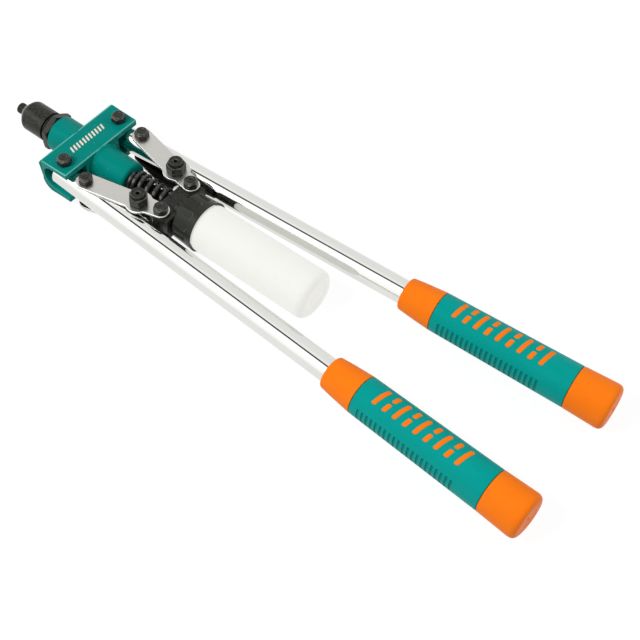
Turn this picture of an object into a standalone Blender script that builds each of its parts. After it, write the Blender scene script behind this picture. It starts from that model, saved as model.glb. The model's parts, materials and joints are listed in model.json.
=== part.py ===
"""Two-handed long-arm hand riveter: a cast head, two tubular arms, link plates and a pull block.

Tool coordinates, in metres: the origin lies midway between the two arm pivots, on the tool's
axis. X runs from the nose to the handles, +Y is the right arm and +Z is up. The last step
moves the whole tool so that the middle of its underside is at the world origin.
"""

import math

import bmesh
import bpy

# Fits and thicknesses that several pieces share
CLEARANCE = 0.0003
PLAY = 0.0004

# Arms: steel tubes hinged in the head
ARM_PIVOT_Y = 0.0249
ARM_SPLAY_DEGREES = 3.1
TUBE_DIAMETER = 0.0160
TUBE_WALL = 0.0015
TUBE_AHEAD_OF_PIVOT = 0.0060
TUBE_BEHIND_PIVOT = 0.3560
LINK_PIVOT_ON_ARM = 0.0196
BUSH_WALL = 0.0012

# Grips, measured along the arm from its pivot
GRIP_FRONT = 0.2268
SLEEVE_FRONT = 0.2502
SLEEVE_REAR = 0.3424
GRIP_REAR = 0.3680
GRIP_FRONT_DIAMETER = 0.0210
SLEEVE_FRONT_DIAMETER = 0.0254
SLEEVE_REAR_DIAMETER = 0.0275
GRIP_REAR_DIAMETER = 0.0294
GRIP_EDGE = 0.0034
SLEEVE_THICKNESS = 0.0022
SLEEVE_LIP = 0.0006

# Head casting: a bar across the tool, with a barrel in front and one behind
YOKE_FRONT = -0.0156
YOKE_REAR = 0.0085
YOKE_HALF_WIDTH = 0.0327
YOKE_HALF_HEIGHT = 0.0127
YOKE_TOP_FRONT_ROUND = 0.0030
YOKE_LOWER_FRONT_ROUND = 0.0080
YOKE_EDGE = 0.0006
CLEVIS_WALL = 0.0025
CLEVIS_CORE_HALF_WIDTH = 0.0150
CLEVIS_ROUND = 0.0080
FRONT_BARREL_FRONT = -0.0310
FRONT_BARREL_DIAMETER = 0.0251
REAR_BARREL_REAR = 0.0348
REAR_BARREL_ROOT_DIAMETER = 0.0236
REAR_BARREL_TIP_DIAMETER = 0.0224
REAR_BARREL_ROUND = 0.0026
BARREL_FILLET = 0.0008

# Nose: housing, lock nut and the fitted nosepiece
HOUSING_FRONT = -0.0604
HOUSING_SHOULDER = -0.0397
HOUSING_REAR = -0.0150
HOUSING_THREAD_WALL = 0.0022
HOUSING_STEP = 0.00175
HOUSING_CHAMFER = 0.0030
HOUSING_CHAMFER_ROUND = 0.0008
HOUSING_FRONT_WALL = 0.0040
LOCK_NUT_WALL = 0.00265
LOCK_NUT_THICKNESS = 0.0050
NOSEPIECE_TIP = -0.0689
NOSEPIECE_TIP_DIAMETER = 0.0076
NOSEPIECE_EDGE = 0.0006
NOSEPIECE_FLANGE_DIAMETER = 0.0144
NOSEPIECE_FLANGE_TAPER = 0.0011
NOSEPIECE_FLANGE_THICKNESS = 0.0030
NOSEPIECE_SHANK_DIAMETER = 0.0066
NOSEPIECE_SHANK_LENGTH = 0.0058
NOSEPIECE_CONE_LENGTH = 0.0014
NOSEPIECE_CONE_WALL = 0.0006
MANDREL_HOLE_DIAMETER = 0.0026

# Pulling parts along the axis
JAW_CASE_WALL = 0.0014
JAW_CASE_FRONT = -0.0419
JAW_CASE_LENGTH = 0.0240
JAW_CASE_MOUTH_DIAMETER = 0.0056
JAW_CASE_MOUTH_WALL = 0.0010
JAW_CASE_FRONT_CONE = 0.0016
JAW_CONE_LENGTH = 0.0080
JAW_COUNT = 3
JAW_LENGTH = 0.0088
JAW_SET_BACK = 0.0004
JAW_GRIP_DIAMETER = 0.0022
JAW_REAR_CONE = 0.0012
JAW_GAP_DEGREES = 8
LOCK_RING_THICKNESS = 0.0030
PUSHER_LENGTH = 0.0045
PUSHER_NOSE_DIAMETER = 0.0032
PUSHER_CONE_LENGTH = 0.0026
PUSHER_BORE_DIAMETER = 0.0028
PUSHER_SPRING_WIRE = 0.0007
PUSHER_SPRING_TURNS = 4
ROD_DIAMETER = 0.0090
ROD_BORE_DIAMETER = 0.0052
ROD_GRIP_IN_CASE = 0.0024
ROD_EDGE = 0.0004

# Pull block, collar and mandrel bottle
BLOCK_FRONT = 0.0697
BLOCK_REAR = 0.0815
BLOCK_HALF_WIDTH = 0.0184
LUG_BEHIND_FRONT = 0.0033
LUG_INSIDE_END = 0.0043
LUG_RADIUS = 0.0063
BLOCK_EDGE = 0.0005
BOSS_DIAMETER = 0.0246
BOSS_LENGTH = 0.0100
COLLAR_FRONT = 0.0829
COLLAR_REAR = 0.0988
COLLAR_FRONT_DIAMETER = 0.0330
COLLAR_REAR_DIAMETER = 0.0350
COLLAR_LIP = 0.0009
COLLAR_EDGE = 0.0008
GRIP_RECESSES = 12
RECESS_WIDTH = 0.0044
RECESS_DEPTH = 0.0008
RECESS_REAR = 0.0936
BOTTLE_END = 0.1862
BOTTLE_NECK_DIAMETER = 0.0290
BOTTLE_FRONT_DIAMETER = 0.0326
BOTTLE_REAR_DIAMETER = 0.0334
BOTTLE_WALL = 0.0014
BOTTLE_ROUND = 0.0050
BOTTLE_NECK_LENGTH = 0.0062
BOTTLE_SHOULDER = 0.0024

# Return spring round the pull rod
SPRING_DIAMETER = 0.0176
SPRING_WIRE = 0.0026
SPRING_TURNS = 6
SPRING_CLOSED_TURNS = 1

# Link plates, above and below each arm
LINK_THICKNESS = 0.0020
LINK_HALF_WIDTH = 0.0067
LINK_WAIST_HALF_WIDTH = 0.0062
LINK_REAR_RADIUS = 0.0058
SPARE_ALONG_LINK = 0.0389
SPARE_BOSS_RADIUS = 0.0090
LINK_FILLET = 0.0020
LINK_REAR_ARC_DEGREES = 80
SLOT_HALF_LENGTH = 0.0045
SLOT_HALF_WIDTH = 0.0038

# Bolts and nuts
YOKE_BOLT_DIAMETER = 0.0060
LINK_BOLT_DIAMETER = 0.0050
BOLT_ACROSS_FLATS = 0.0086
YOKE_BOLT_HEAD = 0.0055
LINK_BOLT_HEAD = 0.0045
BOLT_CROWN_DIAMETER = 0.0080
BOLT_CROWN_RISE = 0.0014
BOLT_CROWN_ROUND = 0.0006
BOLT_CHAMFER = 0.0006
BOLT_TIP_CHAMFER = 0.0005
NUT_THICKNESS = 0.0048
NUT_COLLAR_HEIGHT = 0.0014
NUT_COLLAR_DIAMETER = 0.0082
NUT_COLLAR_TIP_DIAMETER = 0.0073
NUT_CHAMFER = 0.0003
BOLT_TAIL = 0.0006

# Spare nosepieces, screwed into the upper link plates
SPARE_ACROSS_FLATS = 0.0112
SPARE_BASE_HEIGHT = 0.0040
SPARE_BASE_CHAMFER = 0.0008
SPARE_BASE_TOP_DIAMETER = 0.0104
SPARE_BODY_HEIGHT = 0.0042
SPARE_BODY_DIAMETER = 0.0092

# Facets
ROUND_STEPS = 28
COLLAR_STEPS = 36
MEDIUM_STEPS = 18
SMALL_STEPS = 14
CROWN_STEPS = 12
BUSH_HOLE_STEPS = 10
ARC_STEPS = 4
MERGE = 0.00001
SMOOTH_BELOW = math.radians(35)
BEVEL_ABOVE = math.radians(50)

SIDES = {"right": 1, "left": -1}
ALONG_X = (0.0, math.radians(90), 0.0)
ALONG_Y = (math.radians(90), 0.0, 0.0)

# Sizes that follow from the ones above
SLOT_HALF_HEIGHT = TUBE_DIAMETER / 2 + PLAY
LINK_TOP = SLOT_HALF_HEIGHT + LINK_THICKNESS
BLOCK_HALF_HEIGHT = SLOT_HALF_HEIGHT - CLEARANCE
BUSH_HALF_LENGTH = SLOT_HALF_HEIGHT - CLEARANCE
ARM_SPLAY = math.radians(ARM_SPLAY_DEGREES)
TUBE_SWEEP_RADIUS = math.hypot(TUBE_AHEAD_OF_PIVOT, TUBE_DIAMETER / 2) + 2 * CLEARANCE
JAW_CASE_BORE = ROD_DIAMETER / 2 + CLEARANCE
JAW_CASE_DIAMETER = 2 * (JAW_CASE_BORE + JAW_CASE_WALL)
HOUSING_THREAD_DIAMETER = JAW_CASE_DIAMETER + 2 * PLAY + 2 * HOUSING_THREAD_WALL
HOUSING_DIAMETER = HOUSING_THREAD_DIAMETER + 2 * HOUSING_STEP
LOCK_NUT_ACROSS_FLATS = HOUSING_THREAD_DIAMETER + 2 * CLEARANCE + 2 * LOCK_NUT_WALL
LUG_X = BLOCK_FRONT + LUG_BEHIND_FRONT
LUG_Y = BLOCK_HALF_WIDTH - LUG_INSIDE_END
LINK_PIVOT_X = LINK_PIVOT_ON_ARM * math.cos(ARM_SPLAY)
LINK_PIVOT_Y = ARM_PIVOT_Y + LINK_PIVOT_ON_ARM * math.sin(ARM_SPLAY)
LINK_LENGTH = math.hypot(LUG_X - LINK_PIVOT_X, LUG_Y - LINK_PIVOT_Y)
LINK_ANGLE = math.atan2(LUG_Y - LINK_PIVOT_Y, LUG_X - LINK_PIVOT_X)
JAW_CASE_REAR = JAW_CASE_FRONT + JAW_CASE_LENGTH
ROD_FRONT = JAW_CASE_REAR - ROD_GRIP_IN_CASE
ROD_REAR = BLOCK_REAR + BOSS_LENGTH


def clear_scene():
    """Removes every object of the scene that the script starts in."""
    for obj in list(bpy.data.objects):
        bpy.data.objects.remove(obj)


def new_collection(name):
    """Makes a collection in the scene."""
    collection = bpy.data.collections.new(name)
    bpy.context.scene.collection.children.link(collection)
    return collection


def new_material(name, colour, metallic, roughness, alpha=1.0):
    """Makes a Principled material of one colour."""
    material = bpy.data.materials.new(name)
    material.use_nodes = True
    shader = material.node_tree.nodes["Principled BSDF"]
    shader.inputs["Base Color"].default_value = (*colour, 1.0)
    shader.inputs["Metallic"].default_value = metallic
    shader.inputs["Roughness"].default_value = roughness
    shader.inputs["Alpha"].default_value = alpha
    return material


def new_empty(name, parent, location, turn=0.0):
    """Makes an empty on a joint's axis, turned about Z."""
    empty = bpy.data.objects.new(name, None)
    PARTS.objects.link(empty)
    empty.empty_display_size = 0.01
    empty.parent = parent
    empty.location = location
    empty.rotation_euler = (0.0, 0.0, turn)
    return empty


def mesh_from(obj):
    """Takes the evaluated mesh of a helper object, welds it and removes the helper."""
    bpy.context.view_layer.update()
    graph = bpy.context.evaluated_depsgraph_get()
    mesh = bpy.data.meshes.new_from_object(obj.evaluated_get(graph))
    bm = bmesh.new()
    bm.from_mesh(mesh)
    bmesh.ops.remove_doubles(bm, verts=bm.verts, dist=MERGE)
    bmesh.ops.recalc_face_normals(bm, faces=bm.faces)
    bm.to_mesh(mesh)
    bm.free()
    bpy.data.objects.remove(obj)
    return mesh


def place(name, mesh, material, parent, location=(0.0, 0.0, 0.0), rotation=(0.0, 0.0, 0.0)):
    """Puts a mesh in the scene as a named piece."""
    obj = bpy.data.objects.new(name, mesh)
    PARTS.objects.link(obj)
    obj.parent = parent
    obj.location = location
    obj.rotation_euler = rotation
    mesh.materials.clear()
    mesh.materials.append(material)
    mesh.shade_smooth()
    mesh.set_sharp_from_angle(angle=SMOOTH_BELOW)
    return obj


def cutter(name, mesh, parent, location=(0.0, 0.0, 0.0), rotation=(0.0, 0.0, 0.0)):
    """Puts a mesh in the scene as a helper for a Boolean."""
    obj = bpy.data.objects.new(name, mesh)
    CUTTERS.objects.link(obj)
    obj.parent = parent
    obj.location = location
    obj.rotation_euler = rotation
    obj.hide_render = True
    obj.display_type = "WIRE"
    return obj


def boolean(obj, tool, operation="DIFFERENCE"):
    """Adds a Boolean modifier."""
    modifier = obj.modifiers.new(tool.name, "BOOLEAN")
    modifier.operation = operation
    modifier.object = tool
    modifier.solver = "EXACT"


def arc(centre_x, centre_y, radius, start, end, steps=ARC_STEPS):
    """Points along an arc, angles in degrees."""
    points = []
    for i in range(steps + 1):
        angle = math.radians(start + (end - start) * i / steps)
        points.append((centre_x + radius * math.cos(angle), centre_y + radius * math.sin(angle)))
    return points


def circle(centre_x, centre_y, radius, steps=SMALL_STEPS):
    """Points round a circle."""
    return arc(centre_x, centre_y, radius, 0, 360, steps)[:-1]


def turned(profile, steps=ROUND_STEPS, closed=False):
    """A turned mesh about Z. The profile's (along, radius) points run up the outer side."""
    mesh = bpy.data.meshes.new("profile")
    bm = bmesh.new()
    verts = [bm.verts.new((radius, 0.0, along)) for along, radius in reversed(profile)]
    for first, second in zip(verts, verts[1:]):
        bm.edges.new((first, second))
    if closed:
        bm.edges.new((verts[-1], verts[0]))
    bm.to_mesh(mesh)
    bm.free()
    obj = bpy.data.objects.new("profile", mesh)
    PARTS.objects.link(obj)
    screw = obj.modifiers.new("turn", "SCREW")
    screw.axis = "Z"
    screw.steps = steps
    screw.render_steps = steps
    screw.use_merge_vertices = True
    screw.merge_threshold = MERGE
    return mesh_from(obj)


def cylinder(front, rear, diameter, steps=SMALL_STEPS):
    """A plain turned cylinder along Z."""
    return turned([(front, 0.0), (front, diameter / 2), (rear, diameter / 2), (rear, 0.0)], steps)


def ring(front, rear, outer, inner, edge=0.0, steps=ROUND_STEPS):
    """A turned ring along Z between two diameters, its outer edges chamfered."""
    profile = [(front, outer / 2 - edge), (front + edge, outer / 2), (rear - edge, outer / 2)]
    profile += [(rear, outer / 2 - edge), (rear, inner / 2), (front, inner / 2)]
    if not edge:
        profile = [(front, outer / 2), (rear, outer / 2), (rear, inner / 2), (front, inner / 2)]
    return turned(profile, steps, closed=True)


def plate(loops, thickness):
    """A flat plate about the XY plane. The first loop is its outline and the rest are holes."""
    curve = bpy.data.curves.new("outline", "CURVE")
    curve.dimensions = "2D"
    curve.fill_mode = "BOTH"
    curve.extrude = thickness / 2
    for loop in loops:
        spline = curve.splines.new("POLY")
        spline.points.add(len(loop) - 1)
        for point, (x, y) in zip(spline.points, loop):
            point.co = (x, y, 0.0, 1.0)
        spline.use_cyclic_u = True
    obj = bpy.data.objects.new("outline", curve)
    PARTS.objects.link(obj)
    return mesh_from(obj)


def hexagon(across_flats, low, high):
    """A hexagonal prism along Z."""
    mesh = bpy.data.meshes.new("hexagon")
    bm = bmesh.new()
    radius = across_flats / math.sqrt(3)
    bmesh.ops.create_cone(
        bm, cap_ends=True, segments=6, radius1=radius, radius2=radius, depth=high - low
    )
    bmesh.ops.translate(bm, vec=(0.0, 0.0, (low + high) / 2), verts=bm.verts)
    bm.to_mesh(mesh)
    bm.free()
    return mesh


def combined(mesh, tools):
    """The mesh after a list of (operation, mesh) Booleans."""
    obj = bpy.data.objects.new("blank", mesh)
    PARTS.objects.link(obj)
    helpers = []
    for operation, tool in tools:
        helpers.append(cutter("tool", tool, None))
        boolean(obj, helpers[-1], operation)
    result = mesh_from(obj)
    for helper in helpers:
        bpy.data.objects.remove(helper)
    return result


def coil(front, rear, diameter, wire, turns, closed_turns, points_per_turn=11, roundness=2):
    """A wire coil along Z. Its end turns lie closer than the rest."""
    curve = bpy.data.curves.new("coil", "CURVE")
    curve.dimensions = "3D"
    curve.bevel_depth = wire / 2
    curve.bevel_resolution = roundness
    curve.use_fill_caps = True
    spline = curve.splines.new("POLY")
    count = int(turns * points_per_turn)
    spline.points.add(count)
    radius = (diameter - wire) / 2
    first = front + wire / 2
    last = rear - wire / 2
    tight = closed_turns * (wire + CLEARANCE)
    for i, point in enumerate(spline.points):
        turn = i / points_per_turn
        if turn <= closed_turns:
            along = first + tight * turn / closed_turns
        elif turn >= turns - closed_turns:
            along = last - tight * (turns - turn) / closed_turns
        else:
            share = (turn - closed_turns) / (turns - 2 * closed_turns)
            along = first + tight + share * (last - first - 2 * tight)
        angle = 2 * math.pi * turn
        point.co = (radius * math.cos(angle), radius * math.sin(angle), along, 1.0)
    obj = bpy.data.objects.new("coil", curve)
    PARTS.objects.link(obj)
    return mesh_from(obj)


def beyond(radius, steps=CROWN_STEPS):
    """The radius at which a faceted turning clears the given radius all round."""
    return radius / math.cos(math.pi / steps) + CLEARANCE


def bolt_mesh(diameter, head, length):
    """A hex bolt along Z, its head standing on z = 0, chamfered and domed on top."""
    corner = BOLT_ACROSS_FLATS / math.sqrt(3)
    reach = beyond(corner)
    dome = BOLT_CROWN_DIAMETER / 2
    foot = head - BOLT_CROWN_RISE
    slope = BOLT_CHAMFER / (corner - dome)
    crown = [(-CLEARANCE, 0.0), (-CLEARANCE, reach), (foot - slope * (reach - dome), reach)]
    crown += [(foot, dome), (head - BOLT_CROWN_ROUND, dome)]
    crown += [(head, dome - 2 * BOLT_CROWN_ROUND), (head, 0.0)]
    tip = BOLT_TIP_CHAMFER
    shank = [(-length, 0.0), (-length, diameter / 2 - tip), (tip - length, diameter / 2)]
    shank += [(head / 2, diameter / 2), (head / 2, 0.0)]
    return combined(
        hexagon(BOLT_ACROSS_FLATS, 0.0, head),
        [("INTERSECT", turned(crown, CROWN_STEPS)), ("UNION", turned(shank, SMALL_STEPS))],
    )


def nut_mesh(diameter):
    """A hex nut along Z that hangs under z = 0, with a rounded locking collar below."""
    corner = BOLT_ACROSS_FLATS / math.sqrt(3)
    reach = beyond(corner)
    low = -NUT_THICKNESS
    shoulder = low + NUT_COLLAR_HEIGHT
    collar_radius = NUT_COLLAR_DIAMETER / 2
    slope = NUT_CHAMFER / (corner - collar_radius)
    dome = [(low, 0.0), (low, NUT_COLLAR_TIP_DIAMETER / 2), (shoulder, collar_radius)]
    dome += [(shoulder + slope * (reach - collar_radius), reach), (CLEARANCE, reach), (CLEARANCE, 0.0)]
    hole = cylinder(low - CLEARANCE, CLEARANCE, diameter + 2 * CLEARANCE)
    return combined(
        hexagon(BOLT_ACROSS_FLATS, low, 0.0),
        [("INTERSECT", turned(dome, CROWN_STEPS)), ("DIFFERENCE", hole)],
    )


def yoke_section():
    """The yoke's side outline in the XZ plane."""
    high = YOKE_HALF_HEIGHT
    top = YOKE_TOP_FRONT_ROUND
    low = YOKE_LOWER_FRONT_ROUND
    return (
        [(YOKE_REAR, -high), (YOKE_REAR, high)]
        + arc(YOKE_FRONT + top, high - top, top, 90, 180)
        + arc(YOKE_FRONT + low, low - high, low, 180, 270)
    )


def clevis_section():
    """The side outline of the slot that takes an arm tube: round in front and open to the rear."""
    front = YOKE_FRONT + CLEVIS_WALL + CLEVIS_ROUND
    rear = YOKE_REAR + YOKE_HALF_HEIGHT
    high = SLOT_HALF_HEIGHT
    centre = high - CLEVIS_ROUND
    return (
        [(rear, -high), (rear, high)]
        + arc(front, centre, CLEVIS_ROUND, 90, 180)
        + arc(front, -centre, CLEVIS_ROUND, 180, 270)
    )


def tube_end_sweep():
    """The room that a tube's front end turns in: a ball about the pivot, cut off level with the tube."""
    limit = math.degrees(math.acos(TUBE_DIAMETER / 2 / TUBE_SWEEP_RADIUS))
    rim = arc(0.0, 0.0, TUBE_SWEEP_RADIUS, limit, 180 - limit, 2 * ARC_STEPS)
    profile = [(-along, reach) for along, reach in rim]
    return turned([(profile[0][0], 0.0)] + profile + [(profile[-1][0], 0.0)])


def head_casting(body):
    """The head: yoke bar, barrels, clevis slots, bolt holes and the stepped bore."""
    width = 2 * YOKE_HALF_WIDTH
    head = place("head_casting", plate([yoke_section()], width), CAST_GREEN, body, rotation=ALONG_Y)
    edges = head.modifiers.new("cast edges", "BEVEL")
    edges.width = YOKE_EDGE
    edges.segments = 1
    edges.limit_method = "ANGLE"
    front_radius = FRONT_BARREL_DIAMETER / 2
    front_profile = [(FRONT_BARREL_FRONT, 0.0), (FRONT_BARREL_FRONT, front_radius - YOKE_EDGE)]
    front_profile += [(FRONT_BARREL_FRONT + YOKE_EDGE, front_radius), (0.0, front_radius), (0.0, 0.0)]
    root = REAR_BARREL_ROOT_DIAMETER / 2
    tip = REAR_BARREL_TIP_DIAMETER / 2
    rear_round = REAR_BARREL_ROUND
    rear_profile = [(0.0, 0.0), (0.0, root + BARREL_FILLET), (YOKE_REAR, root + BARREL_FILLET)]
    rear_profile += [
        (YOKE_REAR + BARREL_FILLET - x, root + BARREL_FILLET - y)
        for x, y in arc(0.0, 0.0, BARREL_FILLET, 0, 90, 2)[1:]
    ]
    rear_profile += [
        (REAR_BARREL_REAR - rear_round + x, tip - rear_round + y)
        for x, y in arc(0.0, 0.0, rear_round, 90, 0, 2)
    ]
    rear_profile += [(REAR_BARREL_REAR, 0.0)]
    for name, profile in (("front barrel", front_profile), ("rear barrel", rear_profile)):
        boolean(head, cutter(name, turned(profile), body, rotation=ALONG_X), "UNION")
    slot_depth = YOKE_HALF_WIDTH - CLEVIS_CORE_HALF_WIDTH + YOKE_HALF_HEIGHT
    for name, side in SIDES.items():
        middle = side * (CLEVIS_CORE_HALF_WIDTH + slot_depth / 2)
        slot = plate([clevis_section()], slot_depth)
        boolean(head, cutter(f"{name} clevis slot", slot, body, (0.0, middle, 0.0), ALONG_Y))
        pivot = (0.0, side * ARM_PIVOT_Y, 0.0)
        boolean(head, cutter(f"{name} sweep of the tube end", tube_end_sweep(), body, pivot))
        hole = cylinder(-2 * YOKE_HALF_HEIGHT, 2 * YOKE_HALF_HEIGHT, YOKE_BOLT_DIAMETER + 2 * CLEARANCE)
        boolean(head, cutter(f"{name} pivot hole", hole, body, pivot))
    thread = HOUSING_THREAD_DIAMETER / 2 + CLEARANCE
    case = JAW_CASE_DIAMETER / 2 + PLAY
    rod = ROD_DIAMETER / 2 + CLEARANCE
    case_end = JAW_CASE_REAR + LOCK_RING_THICKNESS + 2 * CLEARANCE
    bore = [(FRONT_BARREL_FRONT - thread, 0.0), (FRONT_BARREL_FRONT - thread, thread)]
    bore += [(HOUSING_REAR + CLEARANCE, thread), (HOUSING_REAR + CLEARANCE, case), (case_end, case)]
    bore += [(case_end + case - rod, rod), (REAR_BARREL_REAR + rod, rod), (REAR_BARREL_REAR + rod, 0.0)]
    boolean(head, cutter("stepped bore", turned(bore), body, rotation=ALONG_X))
    return head


def nose(body):
    """Housing, lock nut and nosepiece, in front of the head."""
    radius = HOUSING_DIAMETER / 2
    thread = HOUSING_THREAD_DIAMETER / 2
    case = JAW_CASE_DIAMETER / 2 + PLAY
    mouth = NOSEPIECE_SHANK_DIAMETER / 2 + CLEARANCE
    inside = HOUSING_FRONT + HOUSING_FRONT_WALL
    chamfer_end = HOUSING_FRONT + HOUSING_CHAMFER
    soften = HOUSING_CHAMFER_ROUND
    profile = [(HOUSING_FRONT, radius - HOUSING_CHAMFER), (chamfer_end - soften, radius - soften)]
    profile += [(chamfer_end + soften, radius), (HOUSING_SHOULDER, radius)]
    profile += [(HOUSING_SHOULDER, thread), (HOUSING_REAR, thread)]
    profile += [(HOUSING_REAR, case), (inside, case), (inside, mouth), (HOUSING_FRONT, mouth)]
    place("nose_housing", turned(profile, closed=True), BLACK_STEEL, body, rotation=ALONG_X)
    nut_rear = FRONT_BARREL_FRONT - CLEARANCE
    nut_front = nut_rear - LOCK_NUT_THICKNESS
    corner = LOCK_NUT_ACROSS_FLATS / math.sqrt(3)
    chamfer = corner - LOCK_NUT_ACROSS_FLATS / 2
    crown = [(nut_front, 0.0), (nut_front, corner - chamfer), (nut_front + chamfer / 2, corner)]
    crown += [(nut_rear - chamfer / 2, corner), (nut_rear, corner - chamfer), (nut_rear, 0.0)]
    outer_bore = HOUSING_THREAD_DIAMETER + 2 * CLEARANCE
    bore = cylinder(nut_front - chamfer, nut_rear + chamfer, outer_bore, COLLAR_STEPS)
    nut = combined(
        hexagon(LOCK_NUT_ACROSS_FLATS, nut_front, nut_rear),
        [("INTERSECT", turned(crown)), ("DIFFERENCE", bore)],
    )
    place("housing_lock_nut", nut, BLACK_STEEL, body, rotation=ALONG_X)
    tip = NOSEPIECE_TIP_DIAMETER / 2
    flange = NOSEPIECE_FLANGE_DIAMETER / 2
    shank = NOSEPIECE_SHANK_DIAMETER / 2
    hole = MANDREL_HOLE_DIAMETER / 2
    seat = HOUSING_FRONT - CLEARANCE
    flange_front = seat - NOSEPIECE_FLANGE_THICKNESS
    shank_end = seat + NOSEPIECE_SHANK_LENGTH
    profile = [(NOSEPIECE_TIP, tip - NOSEPIECE_EDGE), (NOSEPIECE_TIP + NOSEPIECE_EDGE, tip)]
    profile += [(flange_front, tip), (flange_front, flange - NOSEPIECE_FLANGE_TAPER)]
    profile += [(seat, flange), (seat, shank), (shank_end - NOSEPIECE_CONE_LENGTH, shank)]
    profile += [(shank_end, hole + NOSEPIECE_CONE_WALL), (shank_end, hole), (NOSEPIECE_TIP, hole)]
    place("nosepiece", turned(profile, MEDIUM_STEPS, closed=True), STEEL, body, rotation=ALONG_X)


def jaw_set(body):
    """Jaw case with its lock ring, three jaws, the pusher and its spring."""
    outer = JAW_CASE_DIAMETER / 2
    mouth = JAW_CASE_MOUTH_DIAMETER / 2
    cone_rear = JAW_CASE_FRONT + JAW_CONE_LENGTH
    bore = JAW_CASE_BORE
    profile = [(JAW_CASE_FRONT, mouth + JAW_CASE_MOUTH_WALL)]
    profile += [(JAW_CASE_FRONT + JAW_CASE_FRONT_CONE, outer), (JAW_CASE_REAR, outer)]
    profile += [(JAW_CASE_REAR, bore), (cone_rear, bore), (JAW_CASE_FRONT, mouth)]
    place("jaw_case", turned(profile, MEDIUM_STEPS, closed=True), STEEL, body, rotation=ALONG_X)
    ring_front = JAW_CASE_REAR + CLEARANCE
    ring_rear = ring_front + LOCK_RING_THICKNESS
    lock = ring(ring_front, ring_rear, 2 * outer, 2 * bore, ROD_EDGE, MEDIUM_STEPS)
    place("jaw_case_lock_ring", lock, STEEL, body, rotation=ALONG_X)
    jaw_front = JAW_CASE_FRONT + JAW_SET_BACK
    jaw_rear = jaw_front + JAW_LENGTH
    slope = (bore - mouth) / JAW_CONE_LENGTH
    skin = bore - CLEARANCE * math.hypot(1.0, slope)
    grip = JAW_GRIP_DIAMETER / 2
    cone = [(jaw_front, skin - slope * (cone_rear - jaw_front)), (cone_rear, skin), (jaw_rear, skin)]
    cone += [(jaw_rear - JAW_REAR_CONE, grip), (jaw_front, grip)]
    half_turn = 180 / JAW_COUNT - JAW_GAP_DEGREES / 2
    sector = [(CLEARANCE, 0.0)] + arc(0.0, 0.0, 2 * bore, -half_turn, half_turn)
    wedge = plate([sector], 4 * abs(JAW_CASE_FRONT))
    jaw = combined(turned(cone, MEDIUM_STEPS, closed=True), [("INTERSECT", wedge)])
    for index in range(JAW_COUNT):
        piece = place(f"jaw_{index + 1}", jaw, STEEL, body)
        piece.rotation_mode = "ZYX"
        piece.rotation_euler = (0.0, ALONG_X[1], 2 * math.pi * index / JAW_COUNT)
    pusher_front = jaw_rear - JAW_REAR_CONE + CLEARANCE
    pusher_rear = pusher_front + PUSHER_LENGTH
    nose_end = pusher_front + PUSHER_CONE_LENGTH
    hole = PUSHER_BORE_DIAMETER / 2
    profile = [(pusher_front, PUSHER_NOSE_DIAMETER / 2), (nose_end, bore - CLEARANCE)]
    profile += [(pusher_rear, bore - CLEARANCE), (pusher_rear, hole), (pusher_front, hole)]
    place("jaw_pusher", turned(profile, SMALL_STEPS, closed=True), STEEL, body, rotation=ALONG_X)
    wire = coil(
        pusher_rear + CLEARANCE,
        ROD_FRONT - CLEARANCE,
        2 * (bore - CLEARANCE),
        PUSHER_SPRING_WIRE,
        PUSHER_SPRING_TURNS,
        1,
        8,
        1,
    )
    place("pusher_spring", wire, STEEL, body, rotation=ALONG_X)


def pull_parts(body):
    """Rod, block and return spring."""
    rod = ring(ROD_FRONT, ROD_REAR, ROD_DIAMETER, ROD_BORE_DIAMETER, ROD_EDGE, MEDIUM_STEPS)
    place("pull_rod", rod, STEEL, body, rotation=ALONG_X)
    middle = (BLOCK_FRONT + BLOCK_REAR) / 2
    half = (BLOCK_REAR - BLOCK_FRONT) / 2
    outline = [(-half, -BLOCK_HALF_WIDTH), (half, -BLOCK_HALF_WIDTH)]
    outline += [(half, BLOCK_HALF_WIDTH), (-half, BLOCK_HALF_WIDTH)]
    height = 2 * BLOCK_HALF_HEIGHT
    block = place("pull_block", plate([outline], height), BLACK_STEEL, body, (middle, 0.0, 0.0))
    for name, side in SIDES.items():
        lug = plate([circle(0.0, 0.0, LUG_RADIUS, ROUND_STEPS)], height)
        boolean(block, cutter(f"{name} lug", lug, body, (LUG_X, side * LUG_Y, 0.0)), "UNION")
    edges = block.modifiers.new("milled edges", "BEVEL")
    edges.width = BLOCK_EDGE
    edges.segments = 1
    edges.limit_method = "ANGLE"
    edges.angle_limit = BEVEL_ABOVE
    boss = cylinder(BLOCK_REAR - half, BLOCK_REAR + BOSS_LENGTH, BOSS_DIAMETER, ROUND_STEPS)
    boolean(block, cutter("boss", boss, body, rotation=ALONG_X), "UNION")
    bore = cylinder(BLOCK_FRONT - half, BLOCK_REAR + 2 * BOSS_LENGTH, ROD_DIAMETER + 2 * CLEARANCE)
    boolean(block, cutter("rod bore", bore, body, rotation=ALONG_X))
    for name, side in SIDES.items():
        hole = cylinder(-height, height, LINK_BOLT_DIAMETER + 2 * CLEARANCE)
        boolean(block, cutter(f"{name} lug hole", hole, body, (LUG_X, side * LUG_Y, 0.0)))
    spring = coil(
        REAR_BARREL_REAR + CLEARANCE,
        BLOCK_FRONT - CLEARANCE,
        SPRING_DIAMETER,
        SPRING_WIRE,
        SPRING_TURNS,
        SPRING_CLOSED_TURNS,
    )
    place("return_spring", spring, SPRING_BLACK, body, rotation=ALONG_X)


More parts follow.
